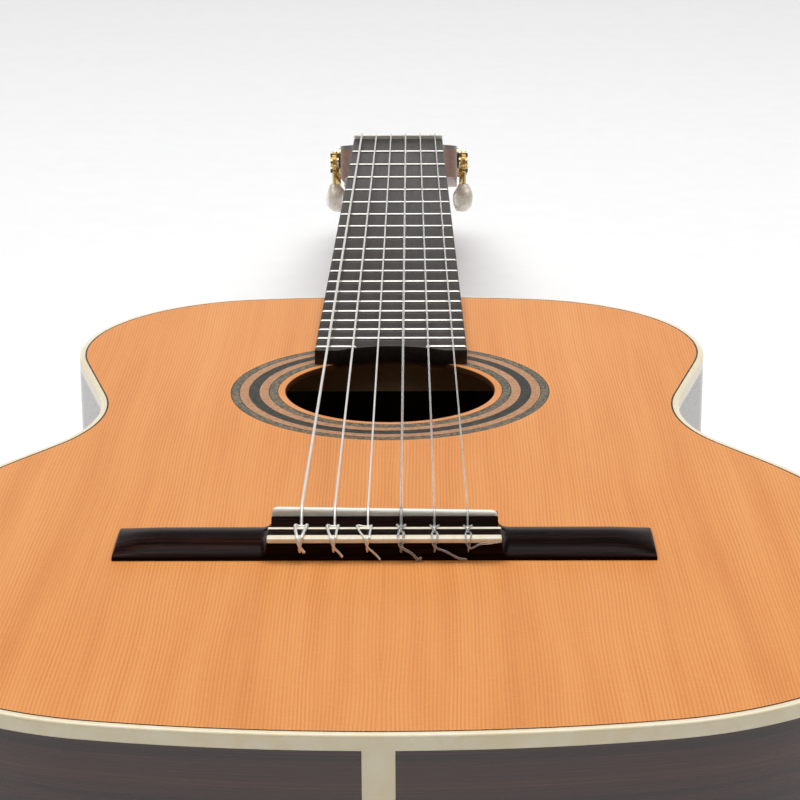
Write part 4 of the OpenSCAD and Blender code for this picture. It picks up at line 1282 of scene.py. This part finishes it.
def make_head():
    """The cedro head and its rosewood face, both with the two string slots."""
    for name, low, high, look, slot, rim in (
            ("Headstock", -HEAD_THICK, -VENEER, CEDRO, "cedar_neck", 0.5),
            ("Head_veneer", -VENEER, 0, ROSEWOOD, "rosewood_veneer", 0.45)):
        piece = slab(name, head_outline(), low, high, look, head_point, 0.02, 1,
                     slot=slot, replaces=[name.lower()])
        tools = slot_tools() + [nut_side_tool()]
        cut(piece, tools + roller_holes() if look is CEDRO else tools)
        shade(piece, 30)
        bevel(piece, rim)


def make_roller(i):
    """A sleeve on a post with turned rims, with the string wound round it."""
    sign, y, body = side_of(i), POST_Y[post_of(i)], f"barrel_{i}"
    r, start, stop = ROLLER_R, SLOT_X[0] + 0.2, HEAD_HALF - 0.1
    profile = [(0.4, 3), (2.6, 3), (3, 3.4), (3, start), (r - 0.5, start), (r, start + 0.5)]
    profile += [(r, stop - 0.4), (3, stop), (3, 38.3), (2, 38.3), (2, 38.38), (0.4, 38.38)]
    turned(f"Roller_{i}", [(a, sign * b) for a, b in profile], (y, POST_Z), "x", SLEEVE, 36,
           body=body, slot="roller_plastic", replaces=[f"roller_{i}"])
    t = tangent_point(i)
    angle = bearing(t - vec(y, POST_Z))
    way, g = winding_way(i), ROLLER_R + HAIR + r_of(i)
    x0 = POST_X[post_of(i)] + way * (STRING_D[i - 1] * 1.02)
    points = []
    for k in range(ROLLER_TURNS * 28 + 1):
        part = k / 28
        p = polar((y, POST_Z), g, angle - 360 * part)
        points.append(head_point(sign * (x0 + way * STRING_D[i - 1] * 1.03 * part), p.x, p.y))
    look, slot = string_look(i)
    wire_object(f"Winding_{i}", points, r_of(i), look, body, slot, sides=10)


COG_R, COG_TEETH = 5.6, 16
THREAD = [(1.2, -0.62), (1.7, -0.52), (2.9, -0.26), (3.05, 0), (2.9, 0.26), (1.7, 0.52), (1.2, 0.62)]


def make_worm(i):
    """A shaft with a single rounded thread."""
    sign, y = side_of(i), POST_Y[post_of(i)] + WORM_DY
    centre = (sign * WORM_X, y)
    body = f"knob_{i}"
    shaft = [(0.3, -29), (1.5, -29), (1.6, -28.8), (1.6, -1.9), (1.3, -1.5), (0.3, -1.5)]
    turned(f"Worm_{i}", shaft, centre, "z", BRASS, 24,
           body=body, slot="tuner_brass", replaces=[f"worm_{i}"])
    pitch, turns = 2 * pi * COG_R / COG_TEETH, 3
    low = POST_Z - pitch * turns / 2
    rings = []
    for k in range(turns * 36 + 1):
        part = k / 36
        a = radians(90 - 180 * turns + 360 * part)
        swell = smooth(min(part, turns - part) / 0.3)
        ring = []
        for r, dz in THREAD:
            radius = lerp(1.2, r, swell)
            ring.append(head_point(centre[0] + radius * cos(a), y + radius * sin(a), low + pitch * part + dz))
        rings.append(ring)
    loft(f"Thread_{i}", rings, BRASS, body=body, slot="tuner_brass", sharp=60)


BUTTON_TURN = [20, -30, 8, -14, 38, 5]
BUTTON_WIDE, BUTTON_FLAT, BUTTON_ROUND = 8.3, 4.7, 2.5
BUTTON_MIDDLE, BUTTON_HALF = -29.7, 6.9


def make_button(i):
    """An oval button with soft flats and a short collar."""
    sign, y = side_of(i), POST_Y[post_of(i)] + WORM_DY
    turn = radians(BUTTON_TURN[i - 1])
    levels = []
    for k in range(-9, 7):
        a = radians(k * 10)
        levels.append((BUTTON_WIDE * max(0.04, cos(a)) ** 0.92, BUTTON_MIDDLE + BUTTON_HALF * sin(a)))
    levels += [(4.2, -23.6), (3.5, -22.8), (3.2, -22.0), (2.9, -21.6), (1.7, -21.6)]
    rings = []
    for radius, z in levels:
        ring = []
        flat = min(radius, BUTTON_FLAT * min(1.0, (radius / BUTTON_WIDE) ** 0.35))
        for k in range(48):
            a = 2 * pi * k / 48
            power = (abs(cos(a)) / flat) ** BUTTON_ROUND + (abs(sin(a)) / radius) ** BUTTON_ROUND
            reach = radius if flat == radius else power ** (-1 / BUTTON_ROUND)
            ring.append(head_point(sign * WORM_X + reach * cos(a + turn), y + reach * sin(a + turn), z))
        rings.append(ring)
    loft(f"Button_{i}", rings, PEARL, sharp=60,
         body=f"knob_{i}", slot="pearl_button", replaces=[f"button_{i}"])


# ---- everything that keeps its CAD shape

CAD_LOOKS = {
    "back_plate_bass": ROSEWOOD, "back_plate_treble": ROSEWOOD, "back_strip": SPRUCE, "end_graft": CREAM,
    "linings": LINING_WOOD, "neck_block": BLOCK_WOOD_WITH_PAINTED_SHADE, "tail_block": BLOCK_WOOD_WITH_PAINTED_SHADE, "top_braces": SPRUCE,
    "bridge_patch": SPRUCE, "back_braces": SPRUCE, "plate_screws": BRASS,
    "tuner_plate_bass": BRASS, "tuner_plate_treble": BRASS,
}


def dress_cad():
    looks = dict(CAD_LOOKS)
    for i in range(1, 7):
        looks[f"cog_{i}"] = BRASS
    for node, material in looks.items():
        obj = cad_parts[node]
        obj.data.materials.clear()
        obj.data.materials.append(material)


# ---- studio


def make_floor():
    mesh = bpy.data.meshes.new("Floor")
    reach = 6.0
    corners = [(-reach, -reach, 0), (reach, -reach, 0), (reach, reach, 0), (-reach, reach, 0)]
    mesh.from_pydata(corners, [], [(0, 1, 2, 3)])
    floor = bpy.data.objects.new("Floor", mesh)
    floor.location.z = CAD_BOUNDS[0].z - 0.0004
    mesh.materials.append(floor_material())
    bpy.context.scene.collection.objects.link(floor)


def soft_light(name, place, target, size, power):
    data = bpy.data.lights.new(name, "AREA")
    data.shape = "RECTANGLE"
    data.size, data.size_y = size
    data.energy = power
    light = bpy.data.objects.new(name, data)
    light.location = place
    light.rotation_euler = (Vector(target) - Vector(place)).to_track_quat("-Z", "Y").to_euler()
    bpy.context.scene.collection.objects.link(light)


def fade(graph, source, start, stop, low, high):
    """A smooth step from low to high while source goes from start to stop."""
    limits = {"Value": source, "From Min": start, "From Max": stop, "To Min": low, "To Max": high}
    return graph.node("MapRange", limits, "Result", interpolation_type="SMOOTHSTEP")


def make_world():
    """A pale studio: bright overhead and behind, dark low down on the near side, white to the camera."""
    world = bpy.data.worlds.new("Studio")
    bpy.context.scene.world = world
    world.use_nodes = True
    g = Graph(world.node_tree)
    g.nodes.clear()
    x, y, z = g.split(g.node("TexCoord", out="Generated"))
    canopy = fade(g, z, 0.60, 0.84, 0.03, 2.03) * fade(g, y, -0.62, 0.25, 0.42, 1.0)
    backdrop = fade(g, z, 0.20, 0.31, 0.9, 0.0) * fade(g, y, 0.0, 0.7, 0.0, 1.0)
    lit = g.node("Background", {"Color": (1, 1, 1), "Strength": g.math("MAXIMUM", canopy, backdrop)})
    plain = g.node("Background", {"Color": (1, 1, 1), "Strength": 1.0})
    seen = g.node("LightPath", out="Is Camera Ray")
    g.node("OutputWorld", {"Surface": g.node("MixShader", {0: seen, 1: lit, 2: plain})})


EYE = (0.01246, -0.9421, 0.4224)


def make_camera():
    """Above the tail, looking along the neck."""
    yaw, pitch, roll = (radians(v) for v in (-0.461, 17.62, -0.268))
    forward = vec(sin(yaw) * cos(pitch), cos(yaw) * cos(pitch), -sin(pitch))
    right = vec(cos(yaw), -sin(yaw), 0)
    up = right.cross(forward)
    x = right * cos(roll) + up * sin(roll)
    y = up * cos(roll) - right * sin(roll)
    data = bpy.data.cameras.new("Camera")
    data.lens = 117.31
    data.sensor_width = 36
    data.shift_y = -0.00125
    data.clip_start = 0.01
    camera = bpy.data.objects.new("Camera", data)
    basis = Matrix((x, y, -forward)).transposed()
    camera.matrix_world = Matrix.Translation(EYE) @ basis.to_4x4()
    bpy.context.scene.collection.objects.link(camera)
    bpy.context.scene.camera = camera


make_soundboard()
make_rosette()
make_edges()
make_sides()
make_bridge()
make_strips()
make_saddle()
make_fingerboard()
make_frets()
make_nut()
make_neck()
make_head()
for number in range(1, 7):
    make_string(number)
    make_roller(number)
    make_worm(number)
    make_button(number)
dress_cad()
make_floor()
make_world()
make_camera()
soft_light("Overhead", (0.0, 0.55, 1.7), (0, 0.0, 0.1), (1.8, 1.0), 12)
bpy.context.scene.view_settings.view_transform = "Standard"
